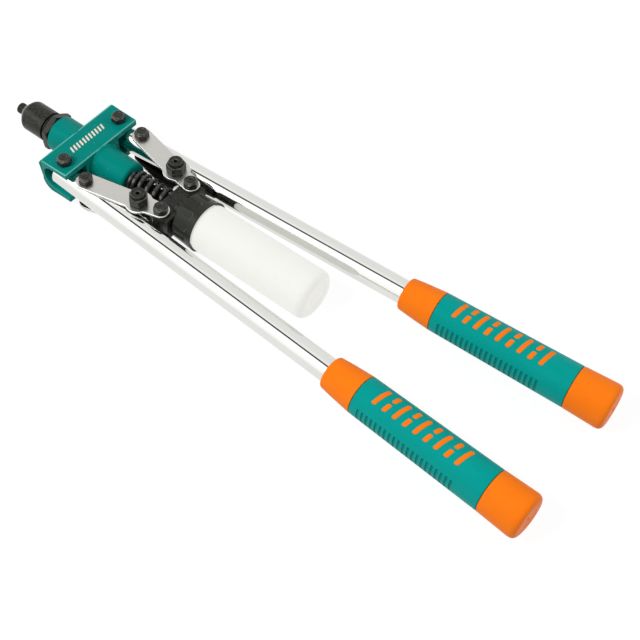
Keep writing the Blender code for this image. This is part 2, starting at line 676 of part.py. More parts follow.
def collar(body):
    """Collar on the block's boss, with grip recesses that are open to the front."""
    front = COLLAR_FRONT_DIAMETER / 2
    rear = COLLAR_REAR_DIAMETER / 2
    boss = BOSS_DIAMETER / 2 + CLEARANCE
    socket = BOTTLE_NECK_DIAMETER / 2 + CLEARANCE
    socket_front = BLOCK_REAR + BOSS_LENGTH + CLEARANCE
    edge = COLLAR_EDGE
    profile = [(COLLAR_FRONT, front - edge), (COLLAR_FRONT + edge, front), (COLLAR_REAR, rear)]
    profile += [(COLLAR_REAR, rear - COLLAR_LIP), (COLLAR_REAR - BOTTLE_SHOULDER, socket)]
    profile += [(socket_front, socket), (socket_front, boss), (COLLAR_FRONT, boss)]
    mesh = turned(profile, COLLAR_STEPS, closed=True)
    piece = place("bottle_collar", mesh, BLACK_PLASTIC, body, rotation=ALONG_X)
    length = RECESS_REAR - COLLAR_FRONT
    half = RECESS_WIDTH / 2
    outline = [(-length, -half)] + arc(length - half, 0.0, half, -90, 90, 3) + [(-length, half)]
    for index in range(GRIP_RECESSES):
        angle = 2 * math.pi * index / GRIP_RECESSES
        depth = 4 * RECESS_DEPTH
        middle = (front + rear) / 2 - RECESS_DEPTH + depth / 2
        centre = (COLLAR_FRONT, middle * math.sin(angle), middle * math.cos(angle))
        recess = plate([outline], depth)
        boolean(piece, cutter(f"recess {index + 1}", recess, body, centre, (-angle, 0.0, 0.0)))


def bottle(body):
    """Bottle that catches the spent mandrels, open at its neck."""
    neck = BOTTLE_NECK_DIAMETER / 2
    front = BOTTLE_FRONT_DIAMETER / 2
    rear = BOTTLE_REAR_DIAMETER / 2
    mouth = COLLAR_REAR - BOTTLE_NECK_LENGTH
    corner = BOTTLE_ROUND
    inner = corner - BOTTLE_WALL
    outside = [(mouth, neck), (COLLAR_REAR - BOTTLE_SHOULDER + 2 * CLEARANCE, neck)]
    outside += [(COLLAR_REAR + CLEARANCE, front - CLEARANCE), (COLLAR_REAR + BOTTLE_SHOULDER, front)]
    outside += arc(BOTTLE_END - corner, rear - corner, corner, 90, 0, 3) + [(BOTTLE_END, 0.0)]
    inside = [(BOTTLE_END - BOTTLE_WALL, 0.0)]
    inside += arc(BOTTLE_END - corner, rear - corner, inner, 0, 90, 3)
    inside += [(COLLAR_REAR + BOTTLE_SHOULDER, front - BOTTLE_WALL)]
    inside += [(COLLAR_REAR - BOTTLE_SHOULDER, neck - BOTTLE_WALL), (mouth, neck - BOTTLE_WALL)]
    mesh = turned([inside[-1]] + outside + inside[:-1] + [inside[-1]])
    place("mandrel_bottle", mesh, MILKY_PLASTIC, body, rotation=ALONG_X)


def grip(side_name, arm):
    """Grip of one arm: an orange core that shows at both ends and a green sleeve round it."""
    tube = TUBE_DIAMETER / 2 + CLEARANCE
    front = GRIP_FRONT_DIAMETER / 2
    seam_front = SLEEVE_FRONT_DIAMETER / 2
    seam_rear = SLEEVE_REAR_DIAMETER / 2
    rear = GRIP_REAR_DIAMETER / 2
    edge = GRIP_EDGE
    bed_front = seam_front - SLEEVE_THICKNESS
    bed_rear = seam_rear - SLEEVE_THICKNESS
    tube_end = TUBE_BEHIND_PIVOT + CLEARANCE
    lip = SLEEVE_LIP
    profile = [(tube_end, 0.0), (tube_end, tube), (GRIP_FRONT, tube), (GRIP_FRONT, front - lip)]
    profile += [(GRIP_FRONT + lip, front), (SLEEVE_FRONT, seam_front), (SLEEVE_FRONT, bed_front)]
    profile += [(SLEEVE_REAR, bed_rear), (SLEEVE_REAR, seam_rear)]
    profile += arc(GRIP_REAR - edge, rear - edge, edge, 90, 0, 3) + [(GRIP_REAR, 0.0)]
    place(f"{side_name}_grip_core", turned(profile), ORANGE_PLASTIC, arm, rotation=ALONG_X)
    start = SLEEVE_FRONT + CLEARANCE
    end = SLEEVE_REAR - CLEARANCE
    profile = [(start, seam_front - lip), (start + lip, seam_front), (end - lip, seam_rear)]
    profile += [(end, seam_rear - lip), (end, bed_rear + CLEARANCE), (start, bed_front + CLEARANCE)]
    place(f"{side_name}_grip_sleeve", turned(profile, closed=True), GREEN_RUBBER, arm, rotation=ALONG_X)


def arm_tube(side_name, arm):
    """Tube of one arm, drilled for the bushes of its two pivots."""
    front = -TUBE_AHEAD_OF_PIVOT
    bore = TUBE_DIAMETER - 2 * TUBE_WALL
    mesh = ring(front, TUBE_BEHIND_PIVOT, TUBE_DIAMETER, bore)
    tube = place(f"{side_name}_arm_tube", mesh, CHROME, arm, rotation=ALONG_X)
    pivots = (("yoke", 0.0, YOKE_BOLT_DIAMETER), ("link", LINK_PIVOT_ON_ARM, LINK_BOLT_DIAMETER))
    for name, along, bolt in pivots:
        inner = bolt + 2 * CLEARANCE
        outer = inner + 2 * BUSH_WALL
        hole = cylinder(-TUBE_DIAMETER, TUBE_DIAMETER, outer + 2 * CLEARANCE, BUSH_HOLE_STEPS)
        boolean(tube, cutter(f"{side_name} {name} bush hole", hole, arm, (along, 0.0, 0.0)))
        bush = ring(-BUSH_HALF_LENGTH, BUSH_HALF_LENGTH, outer, inner, 0.0, SMALL_STEPS)
        place(f"{side_name}_{name}_bush", bush, STEEL, arm, (along, 0.0, 0.0))


def link_outline():
    """Outline of a link plate along X: round ends, a round boss for the spare nosepiece and a waist."""
    width = LINK_HALF_WIDTH
    waist = LINK_WAIST_HALF_WIDTH
    fillet = LINK_FILLET
    boss = SPARE_BOSS_RADIUS
    lead_in = math.sqrt((boss + fillet) ** 2 - (width + fillet) ** 2)
    lead_out = math.sqrt((boss + fillet) ** 2 - (waist + fillet) ** 2)
    angle_in = math.degrees(math.atan2(width + fillet, -lead_in))
    angle_out = math.degrees(math.atan2(waist + fillet, lead_out))
    upper = arc(0.0, 0.0, width, 180, 90, 5)
    upper += arc(SPARE_ALONG_LINK - lead_in, width + fillet, fillet, 270, angle_in + 180, 2)
    upper += arc(SPARE_ALONG_LINK, 0.0, boss, angle_in, angle_out, 6)
    upper += arc(SPARE_ALONG_LINK + lead_out, waist + fillet, fillet, angle_out + 180, 270, 2)
    upper += arc(LINK_LENGTH, 0.0, LINK_REAR_RADIUS, LINK_REAR_ARC_DEGREES, 0, 5)
    lower = [(x, -y) for x, y in reversed(upper[1:-1])]
    return upper + lower


def links(side_name, pivot):
    """Upper and lower link plates of one arm, and the spare nosepiece on the upper one."""
    travel = SLOT_HALF_LENGTH - SLOT_HALF_WIDTH
    slot = arc(LINK_LENGTH + travel, 0.0, SLOT_HALF_WIDTH, -90, 90, 5)
    slot += arc(LINK_LENGTH - travel, 0.0, SLOT_HALF_WIDTH, 90, 270, 5)
    front_hole = circle(0.0, 0.0, LINK_BOLT_DIAMETER / 2 + CLEARANCE)
    spare_hole = circle(SPARE_ALONG_LINK, 0.0, NOSEPIECE_SHANK_DIAMETER / 2 + CLEARANCE)
    middle = SLOT_HALF_HEIGHT + LINK_THICKNESS / 2
    for name, height in (("upper", middle), ("lower", -middle)):
        mesh = plate([link_outline(), front_hole, spare_hole, slot], LINK_THICKNESS)
        place(f"{side_name}_{name}_link", mesh, ZINC, pivot, (0.0, 0.0, height))
    seat = LINK_TOP + CLEARANCE
    body_low = seat + SPARE_BASE_HEIGHT
    body_high = body_low + SPARE_BODY_HEIGHT
    corner = SPARE_ACROSS_FLATS / math.sqrt(3)
    shoulder = body_low - SPARE_BASE_CHAMFER
    base_top = SPARE_BASE_TOP_DIAMETER / 2
    shank = NOSEPIECE_SHANK_DIAMETER / 2
    shank_low = seat - NOSEPIECE_SHANK_LENGTH
    cone_tip = MANDREL_HOLE_DIAMETER / 2 + NOSEPIECE_CONE_WALL
    crown = [(shank_low, 0.0), (shank_low, cone_tip), (shank_low + NOSEPIECE_CONE_LENGTH, shank)]
    crown += [(seat, shank), (seat, corner), (shoulder, corner), (body_low, base_top), (body_low, 0.0)]
    column = cylinder(body_low - SPARE_BASE_HEIGHT / 2, body_high, SPARE_BODY_DIAMETER, MEDIUM_STEPS)
    hole = cylinder(0.0, 2 * body_high, MANDREL_HOLE_DIAMETER, CROWN_STEPS)
    blank = hexagon(SPARE_ACROSS_FLATS, shank_low, body_low)
    tools = [("INTERSECT", turned(crown, MEDIUM_STEPS)), ("UNION", column), ("DIFFERENCE", hole)]
    spare = combined(blank, tools)
    place(f"{side_name}_spare_nosepiece", spare, BLACK_STEEL, pivot, (SPARE_ALONG_LINK, 0.0, 0.0))


def bolt_and_nut(name, parent, location, meshes, seat):
    """A bolt through the stack from above and its nut below, both CLEARANCE off their seats."""
    x, y = location
    bolt, nut = meshes
    place(f"{name}_bolt", bolt, BLACK_STEEL, parent, (x, y, seat + CLEARANCE))
    place(f"{name}_nut", nut, ZINC, parent, (x, y, -seat - CLEARANCE))


def fasteners_for(diameter, head, seat):
    """The bolt and nut meshes for a stack that reaches from -seat to +seat."""
    length = 2 * (seat + CLEARANCE) + NUT_THICKNESS + BOLT_TAIL
    return bolt_mesh(diameter, head, length), nut_mesh(diameter)


def centre_on_underside(root):
    """Moves the tool so that the middle of its underside is the world origin."""
    bpy.context.view_layer.update()
    graph = bpy.context.evaluated_depsgraph_get()
    lows = [math.inf] * 3
    highs = [-math.inf] * 3
    for obj in PARTS.objects:
        if obj.type != "MESH":
            continue
        mesh = obj.evaluated_get(graph).to_mesh()
        for vertex in mesh.vertices:
            point = obj.matrix_world @ vertex.co
            for axis in range(3):
                lows[axis] = min(lows[axis], point[axis])
                highs[axis] = max(highs[axis], point[axis])
    root.location = (-(lows[0] + highs[0]) / 2, 0.0, -lows[2])


def build():
    """Models the whole tool."""
    root = new_empty("riveter", None, (0.0, 0.0, 0.0))
    head_casting(root)
    nose(root)
    pull = new_empty("pull_axis", root, (0.0, 0.0, 0.0))
    jaw_set(pull)
    pull_parts(pull)
    collar(pull)
    bottle(new_empty("bottle_axis", pull, (0.0, 0.0, 0.0)))
    yoke_fasteners = fasteners_for(YOKE_BOLT_DIAMETER, YOKE_BOLT_HEAD, YOKE_HALF_HEIGHT)
    link_fasteners = fasteners_for(LINK_BOLT_DIAMETER, LINK_BOLT_HEAD, LINK_TOP)
    for name, side in SIDES.items():
        arm = new_empty(f"{name}_arm_pivot", root, (0.0, side * ARM_PIVOT_Y, 0.0), side * ARM_SPLAY)
        arm_tube(name, arm)
        grip(name, arm)
        turn = side * (LINK_ANGLE - ARM_SPLAY)
        pivot = new_empty(f"{name}_link_pivot", arm, (LINK_PIVOT_ON_ARM, 0.0, 0.0), turn)
        links(name, pivot)
        bolt_and_nut(f"{name}_yoke", root, (0.0, side * ARM_PIVOT_Y), yoke_fasteners, YOKE_HALF_HEIGHT)
        bolt_and_nut(f"{name}_link_front", arm, (LINK_PIVOT_ON_ARM, 0.0), link_fasteners, LINK_TOP)
        bolt_and_nut(f"{name}_link_rear", pull, (LUG_X, side * LUG_Y), link_fasteners, LINK_TOP)
    centre_on_underside(root)


clear_scene()
PARTS = new_collection("riveter")
CUTTERS = new_collection("cutters")
CAST_GREEN = new_material("cast green", (0.0, 0.270, 0.215), 0.0, 0.35)
GREEN_RUBBER = new_material("green rubber", (0.0, 0.400, 0.330), 0.0, 0.55)
ORANGE_PLASTIC = new_material("orange plastic", (1.0, 0.210, 0.020), 0.0, 0.45)
BLACK_STEEL = new_material("blackened steel", (0.045, 0.045, 0.040), 0.6, 0.45)
SPRING_BLACK = new_material("black spring wire", (0.020, 0.020, 0.020), 0.7, 0.30)
BLACK_PLASTIC = new_material("black plastic", (0.040, 0.040, 0.038), 0.0, 0.50)
MILKY_PLASTIC = new_material("milky plastic", (0.840, 0.840, 0.800), 0.0, 0.35, 0.9)
CHROME = new_material("chrome", (0.800, 0.800, 0.800), 1.0, 0.08)
ZINC = new_material("zinc plate", (0.600, 0.580, 0.550), 0.9, 0.40)
STEEL = new_material("bright steel", (0.450, 0.450, 0.440), 1.0, 0.30)
build()
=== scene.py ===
"""Looks of a two-handed long-arm hand riveter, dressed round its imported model.

Pieces are modelled in millimetres in the tool's own coordinates: the origin lies midway between
the two arm pivots on the tool's axis, X runs from the nose to the handles, +Y is the right arm
and +Z is up. They are put in place, in metres, as each one is finished.
"""

import json
import math

import bmesh
import bpy
from mathutils import Matrix, Vector


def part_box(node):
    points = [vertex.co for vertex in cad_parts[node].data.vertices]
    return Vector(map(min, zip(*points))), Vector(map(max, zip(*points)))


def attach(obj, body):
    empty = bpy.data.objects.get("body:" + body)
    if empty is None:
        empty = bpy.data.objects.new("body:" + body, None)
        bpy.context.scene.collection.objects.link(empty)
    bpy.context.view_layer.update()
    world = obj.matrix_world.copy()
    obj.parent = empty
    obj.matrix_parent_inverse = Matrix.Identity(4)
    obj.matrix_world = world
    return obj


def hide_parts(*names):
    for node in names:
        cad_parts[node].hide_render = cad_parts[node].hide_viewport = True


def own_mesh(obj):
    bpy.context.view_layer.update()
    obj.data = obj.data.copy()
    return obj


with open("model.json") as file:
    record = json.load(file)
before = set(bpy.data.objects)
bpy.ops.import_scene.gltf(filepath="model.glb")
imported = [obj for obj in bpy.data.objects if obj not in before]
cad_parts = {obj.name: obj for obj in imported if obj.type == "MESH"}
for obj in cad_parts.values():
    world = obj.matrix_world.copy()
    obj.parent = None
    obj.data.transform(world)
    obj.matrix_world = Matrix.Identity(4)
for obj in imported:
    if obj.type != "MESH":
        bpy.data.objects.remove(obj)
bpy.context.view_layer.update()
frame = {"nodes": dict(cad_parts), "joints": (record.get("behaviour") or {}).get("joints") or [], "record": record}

MM = 0.001

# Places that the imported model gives
JOINTS = {joint["name"]: joint for joint in frame["joints"]}
ARM_PIVOT = Vector(JOINTS["right_arm_hinge"]["pos_m"])
TOOL = Matrix.Translation((ARM_PIVOT.x, 0.0, ARM_PIVOT.z))
SIDES = {"right": 1, "left": -1}


def tool_box(node):
    """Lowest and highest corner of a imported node, in tool millimetres."""
    low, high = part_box(node)
    return [(TOOL.inverted() @ Vector(corner)) / MM for corner in (low, high)]


def tool_middle(node):
    """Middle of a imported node's box, in tool millimetres."""
    low, high = tool_box(node)
    return (low + high) / 2


# Sizes in millimetres
ARM_PIVOT_Y = ARM_PIVOT.y / MM
ARM_SPLAY = math.radians(3.1)
TUBE_RADIUS = 8.0
TUBE_BORE_RADIUS = 6.5
TUBE_FRONT = -6.0
TUBE_REAR = 356.0
TUBE_EDGE = 0.7
LINK_PIVOT_ON_ARM = (Vector(JOINTS["right_link_hinge"]["pos_m"]) - ARM_PIVOT).length / MM
YOKE_BUSH_HOLE = 9.6
LINK_BUSH_HOLE = 8.6

GRIP_FRONT = 226.8
SLEEVE_FRONT = 250.2
SLEEVE_REAR = 342.4
GRIP_REAR = 368.0
GRIP_FRONT_RADIUS = 10.5
SLEEVE_FRONT_RADIUS = 12.7
SLEEVE_REAR_RADIUS = 13.75
GRIP_REAR_RADIUS = 14.7
SLEEVE_THICKNESS = 2.2
SEAM = 0.3
GROOVE_FRONT = 256.0
GROOVE_PITCH = 3.35
GROOVE_COUNT = 21
GROOVE_WIDTH = 1.6
GROOVE_DEPTH = 0.5
GROOVE_SPAN = math.radians(25)
INLAY_FRONT = 264.0
INLAY_PITCH = 7.3
INLAY_COUNT = 9
INLAY_LENGTH = 13.2
INLAY_WIDTH = 2.9
INLAY_RISE = 0.35
INLAY_GAP = 1.9

YOKE_LOW, YOKE_HIGH = -12.7, 12.7
YOKE_FRONT = -15.6
YOKE_REAR = 8.5
YOKE_HALF_WIDTH = 32.7
YOKE_EDGE = 0.7
YOKE_TOP_ROUND = 3.0
YOKE_LOWER_ROUND = 8.0
SLOT_HALF_HEIGHT = 8.4
CLEVIS_WALL = 2.5
CLEVIS_ROUND = 8.0
CLEVIS_CORE = 15.0
SWEEP_RADIUS = 10.6
YOKE_BOLT_HOLE = 3.3
HEAD_BORE = 9.1
CASE_BORE = 6.6
ROD_BORE = 4.8
FRONT_BARREL_FRONT = tool_box("head_casting")[0].x
REAR_BARREL_REAR = tool_box("head_casting")[1].x
FRONT_BARREL_RADIUS = 12.55
REAR_BARREL_ROOT = 11.8
REAR_BARREL_TIP = 11.2
REAR_BARREL_ROUND = 2.6
MARK_COUNT = 11
MARK_PITCH = 2.75
MARK_LENGTH = 5.0
MARK_X = -4.2

HOUSING_FRONT = tool_box("nose_housing")[0].x
HOUSING_SHOULDER = -39.7
HOUSING_REAR = tool_box("nose_housing")[1].x
HOUSING_RADIUS = 10.55
HOUSING_THREAD = 8.8
THREAD_RING = 9.7
HOUSING_CHAMFER = 3.0
LOCK_NUT_FLATS = 23.5
NOSE_TIP = tool_box("nosepiece")[0].x
TIP_RADIUS = 3.8
MANDREL_HOLE = 1.3
FLANGE_THICKNESS = 1.4
FLANGE_RADIUS = 7.2
SHANK_RADIUS = 3.3
SHANK_LENGTH = 5.8

BLOCK_FRONT = tool_box("pull_block")[0].x
BLOCK_REAR = 81.5
BLOCK_HALF_WIDTH = 18.4
BLOCK_HALF_HEIGHT = 8.1
LUG = tool_middle("right_link_rear_bolt")
LUG_RADIUS = 6.3
BOSS_RADIUS = 12.3
BOSS_REAR = 91.5
ROD_RADIUS = 4.7
ROD_HOLE = 2.6

SPRING_FRONT, SPRING_REAR = [corner.x for corner in tool_box("return_spring")]
SPRING_RADIUS = 7.2
SPRING_WIRE_RADIUS = 1.6

COLLAR_FRONT, COLLAR_REAR = [corner.x for corner in tool_box("bottle_collar")]
COLLAR_BORE = 12.6
COLLAR_FRONT_RADIUS = 16.5
COLLAR_REAR_RADIUS = 17.5
NECK_ROOM = 14.8
RECESS_COUNT = 12
RECESS_REAR = 93.6
RECESS_WIDTH = 4.4
RECESS_FLOOR = 15.5
BOTTLE_MOUTH, BOTTLE_END = [corner.x for corner in tool_box("mandrel_bottle")]
BOTTLE_WALL = 1.4
BOTTLE_NECK = 14.5
BOTTLE_FRONT_RADIUS = 16.3
BOTTLE_REAR_RADIUS = 16.7
BASE_HOLLOW = 0.5

LINK_THICKNESS = 2.0
LINK_LOW = SLOT_HALF_HEIGHT
LINK_TOP = SLOT_HALF_HEIGHT + LINK_THICKNESS
LINK_EDGE = 0.45
LINK_HALF_WIDTH = 6.7
LINK_WAIST = 6.2
LINK_FILLET = 3.0
LINK_REAR_RADIUS = 5.8
LINK_BOLT_HOLE = 2.8
LINK_SLOT_RADIUS = 3.8
LINK_SLOT_REACH = 0.7
SPARE_ALONG_LINK = 38.9
SPARE_BOSS = 9.0
SPARE_HOLE = 3.6
SPARE_FLATS = 11.2
SPARE_BODY_RADIUS = 4.6
SPARE_HEIGHT = 8.2
SPARE_HEX = 5.9

BOLT_FLATS = 8.6
YOKE_BOLT_RADIUS = 3.0
LINK_BOLT_RADIUS = 2.5
BOLT_TAIL = 5.4
YOKE_BOLT_HEAD = 5.5
LINK_BOLT_HEAD = 4.5
CROWN_RADIUS = 4.0
CROWN_RISE = 1.4
NUT_HEIGHT = 4.8
FIT = 0.3

# Light levels of the studio: bands over the angle from straight up to +Y, and from front to back
FLOOR_GLOW = 0.90
SKY_LEVEL = 3.6  # the brightest band
SKY_SOFT = 0.50
SKY_BANDS = [
    (-90.0, 0.95), (-86.0, 1.20), (-70.0, 1.32), (-56.0, 1.36), (-42.0, 3.6), (-34.0, 3.6), (-22.0, 1.36),
    (-13.5, 1.36), (-12.5, 0.04), (-1.5, 0.04),
    (-0.5, 1.10), (14.0, 1.15), (20.0, 1.02), (90.0, 0.98),
]
SKY_AHEAD = [(0.0, 1.0), (0.75, 0.5)]

# Fineness
TURN_STEPS = 96
SMALL_STEPS = 48
WELD = 0.0005
SMOOTH = 38.0


# Shapes


def softened(points, steps=4):
    """Rounds an outline's corners. A point's third value is how far its rounding reaches."""
    result = []
    for index, point in enumerate(points):
        here = Vector(point[:2])
        if len(point) < 3:
            result.append(here)
            continue
        before = Vector(points[index - 1][:2])
        after = Vector(points[(index + 1) % len(points)][:2])
        start = here + (before - here).normalized() * point[2]
        end = here + (after - here).normalized() * point[2]
        for step in range(steps + 1):
            share = step / steps
            result.append(start.lerp(here, share).lerp(here.lerp(end, share), share))
    return result


def arc(x, y, radius, start, end, steps=8):
    """Points along an arc, angles in degrees."""
    angles = [math.radians(start + (end - start) * step / steps) for step in range(steps + 1)]
    return [Vector((x + radius * math.cos(a), y + radius * math.sin(a))) for a in angles]


def turned(profile, steps=TURN_STEPS, closed=False):
    """Spins (along, radius) points round the X axis."""
    bm = bmesh.new()
    verts = [bm.verts.new((along, 0.0, radius)) for along, radius in profile]
    edges = [bm.edges.new(pair) for pair in zip(verts, verts[1:])]
    if closed:
        edges.append(bm.edges.new((verts[-1], verts[0])))
    bmesh.ops.spin(
        bm, geom=verts + edges, cent=(0, 0, 0), axis=(1, 0, 0),
        angle=2 * math.pi, steps=steps, use_merge=True,
    )
    return welded(bm)


def welded(bm):
    """Merges doubles and points the faces outwards."""
    bmesh.ops.remove_doubles(bm, verts=bm.verts, dist=WELD)
    bmesh.ops.dissolve_degenerate(bm, dist=WELD, edges=bm.edges)
    bmesh.ops.recalc_face_normals(bm, faces=bm.faces)
    return bm


def prism(outline, low, high):
    """An outline in XY, extruded along Z."""
    bm = bmesh.new()
    face = bm.faces.new([bm.verts.new((x, y, low)) for x, y in outline])
    grown = bmesh.ops.extrude_face_region(bm, geom=[face])["geom"]
    top = [item for item in grown if isinstance(item, bmesh.types.BMVert)]
    bmesh.ops.translate(bm, vec=(0, 0, high - low), verts=top)
    return welded(bm)


def lofted(loops):
    """Skins closed loops of as many points each, one after the other, and closes both ends."""
    bm = bmesh.new()
    rims = []
    for points in loops:
        verts = [bm.verts.new(point) for point in points]
        rims.append([bm.edges.new((verts[index - 1], verts[index])) for index in range(len(verts))])
    for low, high in zip(rims, rims[1:]):
        bmesh.ops.bridge_loops(bm, edges=low + high)
    for rim in (rims[0], rims[-1]):
        bmesh.ops.contextual_create(bm, geom=rim)
    return welded(bm)


def cylinder(radius, low, high, steps=SMALL_STEPS, at=(0.0, 0.0)):
    """An upright cylinder along Z."""
    return prism(arc(at[0], at[1], radius, 0, 360, steps)[:-1], low, high)


def hexagon(flats, low, high):
    """An upright hexagonal prism."""
    return prism(arc(0.0, 0.0, flats / math.sqrt(3), 0, 360, 6)[:-1], low, high)


def upright(bm):
    """Turns a shape that was spun round X so that it stands along Z."""
    bm.transform(Matrix.Rotation(math.radians(-90), 4, "Y"))
    return bm


def helper(bm):
    """A hidden object for a Boolean."""
    mesh = bpy.data.meshes.new("helper")
    bm.to_mesh(mesh)
    bm.free()
    obj = bpy.data.objects.new("helper", mesh)
    bpy.context.scene.collection.objects.link(obj)
    return obj


def combined(bm, *tools):
    """A shape after Booleans with (operation, shape) tools."""
    base = helper(bm)
    others = [helper(shape) for _, shape in tools]
    for (operation, _), other in zip(tools, others):
        modifier = base.modifiers.new("cut", "BOOLEAN")
        modifier.operation = operation
        modifier.object = other
        modifier.solver = "EXACT"
    bpy.context.view_layer.update()
    evaluated = base.evaluated_get(bpy.context.evaluated_depsgraph_get())
    result = bmesh.new()
    result.from_mesh(evaluated.to_mesh())
    for obj in [base] + others:
        bpy.data.objects.remove(obj)
    bmesh.ops.remove_doubles(result, verts=result.verts, dist=WELD)
    return result


def rounded(bm, width, above=30.0, segments=3, where=None):
    """Bevels the edges that are sharper than an angle, all of them or those that where accepts."""
    sharp = [
        edge for edge in bm.edges
        if len(edge.link_faces) == 2
        and edge.calc_face_angle() > math.radians(above)
        and (where is None or where(edge))
    ]
    bmesh.ops.bevel(
        bm, geom=sharp, offset=width, offset_type="OFFSET", segments=segments, profile=0.5,
        affect="EDGES", clamp_overlap=True, material=-1,
    )
    return bm


def joined(*shapes):
    """Several shapes in one."""
    result = bmesh.new()
    for bm in shapes:
        mesh = bpy.data.meshes.new("part")
        bm.to_mesh(mesh)
        bm.free()
        result.from_mesh(mesh)
        bpy.data.meshes.remove(mesh)
    return result


def piece(name, bm, material, body, place=TOOL, stands_for=None, smooth=SMOOTH):
    """Puts a finished shape in the scene: in metres, shaded, painted and riding on its body."""
    bm.transform(place @ Matrix.Scale(MM, 4))
    mesh = bpy.data.meshes.new(name)
    bm.to_mesh(mesh)
    bm.free()
    mesh.shade_smooth()
    mesh.set_sharp_from_angle(angle=math.radians(smooth))
    obj = bpy.data.objects.new(name, mesh)
    bpy.context.scene.collection.objects.link(obj)
    for finish in material if isinstance(material, tuple) else (material,):
        mesh.materials.append(finish)
    weighted = obj.modifiers.new("even shading", "WEIGHTED_NORMAL")
    weighted.keep_sharp = True
    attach(obj, body)
    if stands_for:
        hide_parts(stands_for)
    return obj


# Finishes


class Value:
    """A shader socket that takes part in sums."""

    def __init__(self, finish, socket):
        self.finish = finish
        self.socket = socket

    def maths(self, operation, first, second):
        return self.finish.node("ShaderNodeMath", {"operation": operation}, {0: first, 1: second})

    def __add__(self, other):
        return self.maths("ADD", self, other)

    def __radd__(self, other):
        return self.maths("ADD", other, self)

    def __sub__(self, other):
        return self.maths("SUBTRACT", self, other)

    def __rsub__(self, other):
        return self.maths("SUBTRACT", other, self)

    def __mul__(self, other):
        return self.maths("MULTIPLY", self, other)

    def __rmul__(self, other):
        return self.maths("MULTIPLY", other, self)

    def __gt__(self, other):
        return self.maths("GREATER_THAN", self, other)


class Finish:
    """A material whose colour, roughness and relief are worked out by nodes."""

    def __init__(self, name, metallic=0.0, shine=0.5, fixed=None):
        self.material = bpy.data.materials.new(name)
        self.material.use_nodes = True
        self.tree = self.material.node_tree
        self.shader = self.tree.nodes["Principled BSDF"]
        self.shader.inputs["Metallic"].default_value = metallic
        self.shader.inputs["Specular IOR Level"].default_value = shine
        for key, value in (fixed or {}).items():
            self.shader.inputs[key].default_value = value
        self.where = self.node("ShaderNodeTexCoord", output="Object")
        self.relief = None

    def node(self, kind, settings=None, sockets=None, output=0):
        """Makes a node, sets it, feeds its sockets and gives one of its outputs."""
        made = self.tree.nodes.new(kind)
        for key, value in (settings or {}).items():
            if key == "stops":
                made.color_ramp.elements[0].position = value[0]
                made.color_ramp.elements[1].position = value[1]
            else:
                setattr(made, key, value)
        for key, value in (sockets or {}).items():
            if isinstance(value, Value):
                self.tree.links.new(value.socket, made.inputs[key])
            else:
                made.inputs[key].default_value = value
        return Value(self, made.outputs[output])

    def feed(self, socket, value):
        """Feeds one of the shader's sockets."""
        self.tree.links.new(value.socket, self.shader.inputs[socket])

    def along(self):
        """How far forward or back a point lies, in metres."""
        return self.node("ShaderNodeSeparateXYZ", None, {0: self.where}, "X")

    def noise(self, size, detail=2.0, stretch=(1.0, 1.0, 1.0)):
        """Cloudy values whose lumps are about size metres across."""
        mapped = self.node("ShaderNodeMapping", None, {"Vector": self.where, "Scale": stretch})
        return self.node(
            "ShaderNodeTexNoise", None, {"Vector": mapped, "Scale": 1.0 / size, "Detail": detail}
        )

    def step(self, value, low, high):
        """Goes from 0 to 1 as a value goes from low to high."""
        return self.node("ShaderNodeValToRGB", {"stops": (low, high)}, {"Fac": value})

    def mix(self, share, first, second):
        """Mixes two colours."""
        return self.node(
            "ShaderNodeMix", {"data_type": "RGBA"}, {"Factor": share, "A": first, "B": second}, "Result"
        )

    def colour(self, share, first, second):
        """Base colour that wanders between two colours."""
        self.feed("Base Color", self.mix(share, (*first, 1.0), (*second, 1.0)))

    def bump(self, height, depth):
        """Adds relief. Depth is in metres."""
        sockets = {"Height": height, "Strength": 1.0, "Distance": depth}
        if self.relief:
            sockets["Normal"] = self.relief
        self.relief = self.node("ShaderNodeBump", None, sockets)
        self.feed("Normal", self.relief)


def cast_paint(name, dark, light, shine):
    """Glossy green paint over a die casting, with a few specks in it."""
    finish = Finish(name, shine=shine)
    cloud = finish.noise(0.012)
    specks = finish.noise(0.0010, 0.0) > 0.86
    wander = finish.mix(cloud, (*dark, 1.0), (*light, 1.0))
    finish.feed("Base Color", finish.mix(specks * 0.35, wander, (0.40, 0.60, 0.54, 1.0)))
    finish.feed("Roughness", 0.24 + finish.noise(0.004) * 0.14)
    finish.bump(finish.noise(0.0060, 1.0), 0.00010)
    finish.bump(finish.noise(0.0011, 1.0), 0.00002)
    return finish.material


def grip_rubber(name, dark, light):
    """Soft green moulding with a fine grain and faint smudges."""
    finish = Finish(name, shine=0.07)
    smudge = finish.step(finish.noise(0.018, 4.0, (0.35, 1.0, 1.0)), 0.50, 0.85)
    finish.colour(smudge, dark, light)
    finish.feed("Roughness", 0.36 + finish.noise(0.003, 3.0) * 0.20)
    finish.bump(finish.noise(0.0005, 2.0), 0.00003)
    finish.bump(finish.noise(0.0090, 2.0), 0.00015)
    return finish.material


def grip_plastic(name, dark, light):
    """Orange moulding."""
    finish = Finish(name, shine=0.06)
    finish.colour(finish.noise(0.010, 3.0), dark, light)
    finish.feed("Roughness", 0.32 + finish.noise(0.004, 3.0) * 0.16)
    finish.bump(finish.noise(0.0060, 2.0), 0.00012)
    finish.bump(finish.noise(0.0006, 1.0), 0.00002)
    return finish.material


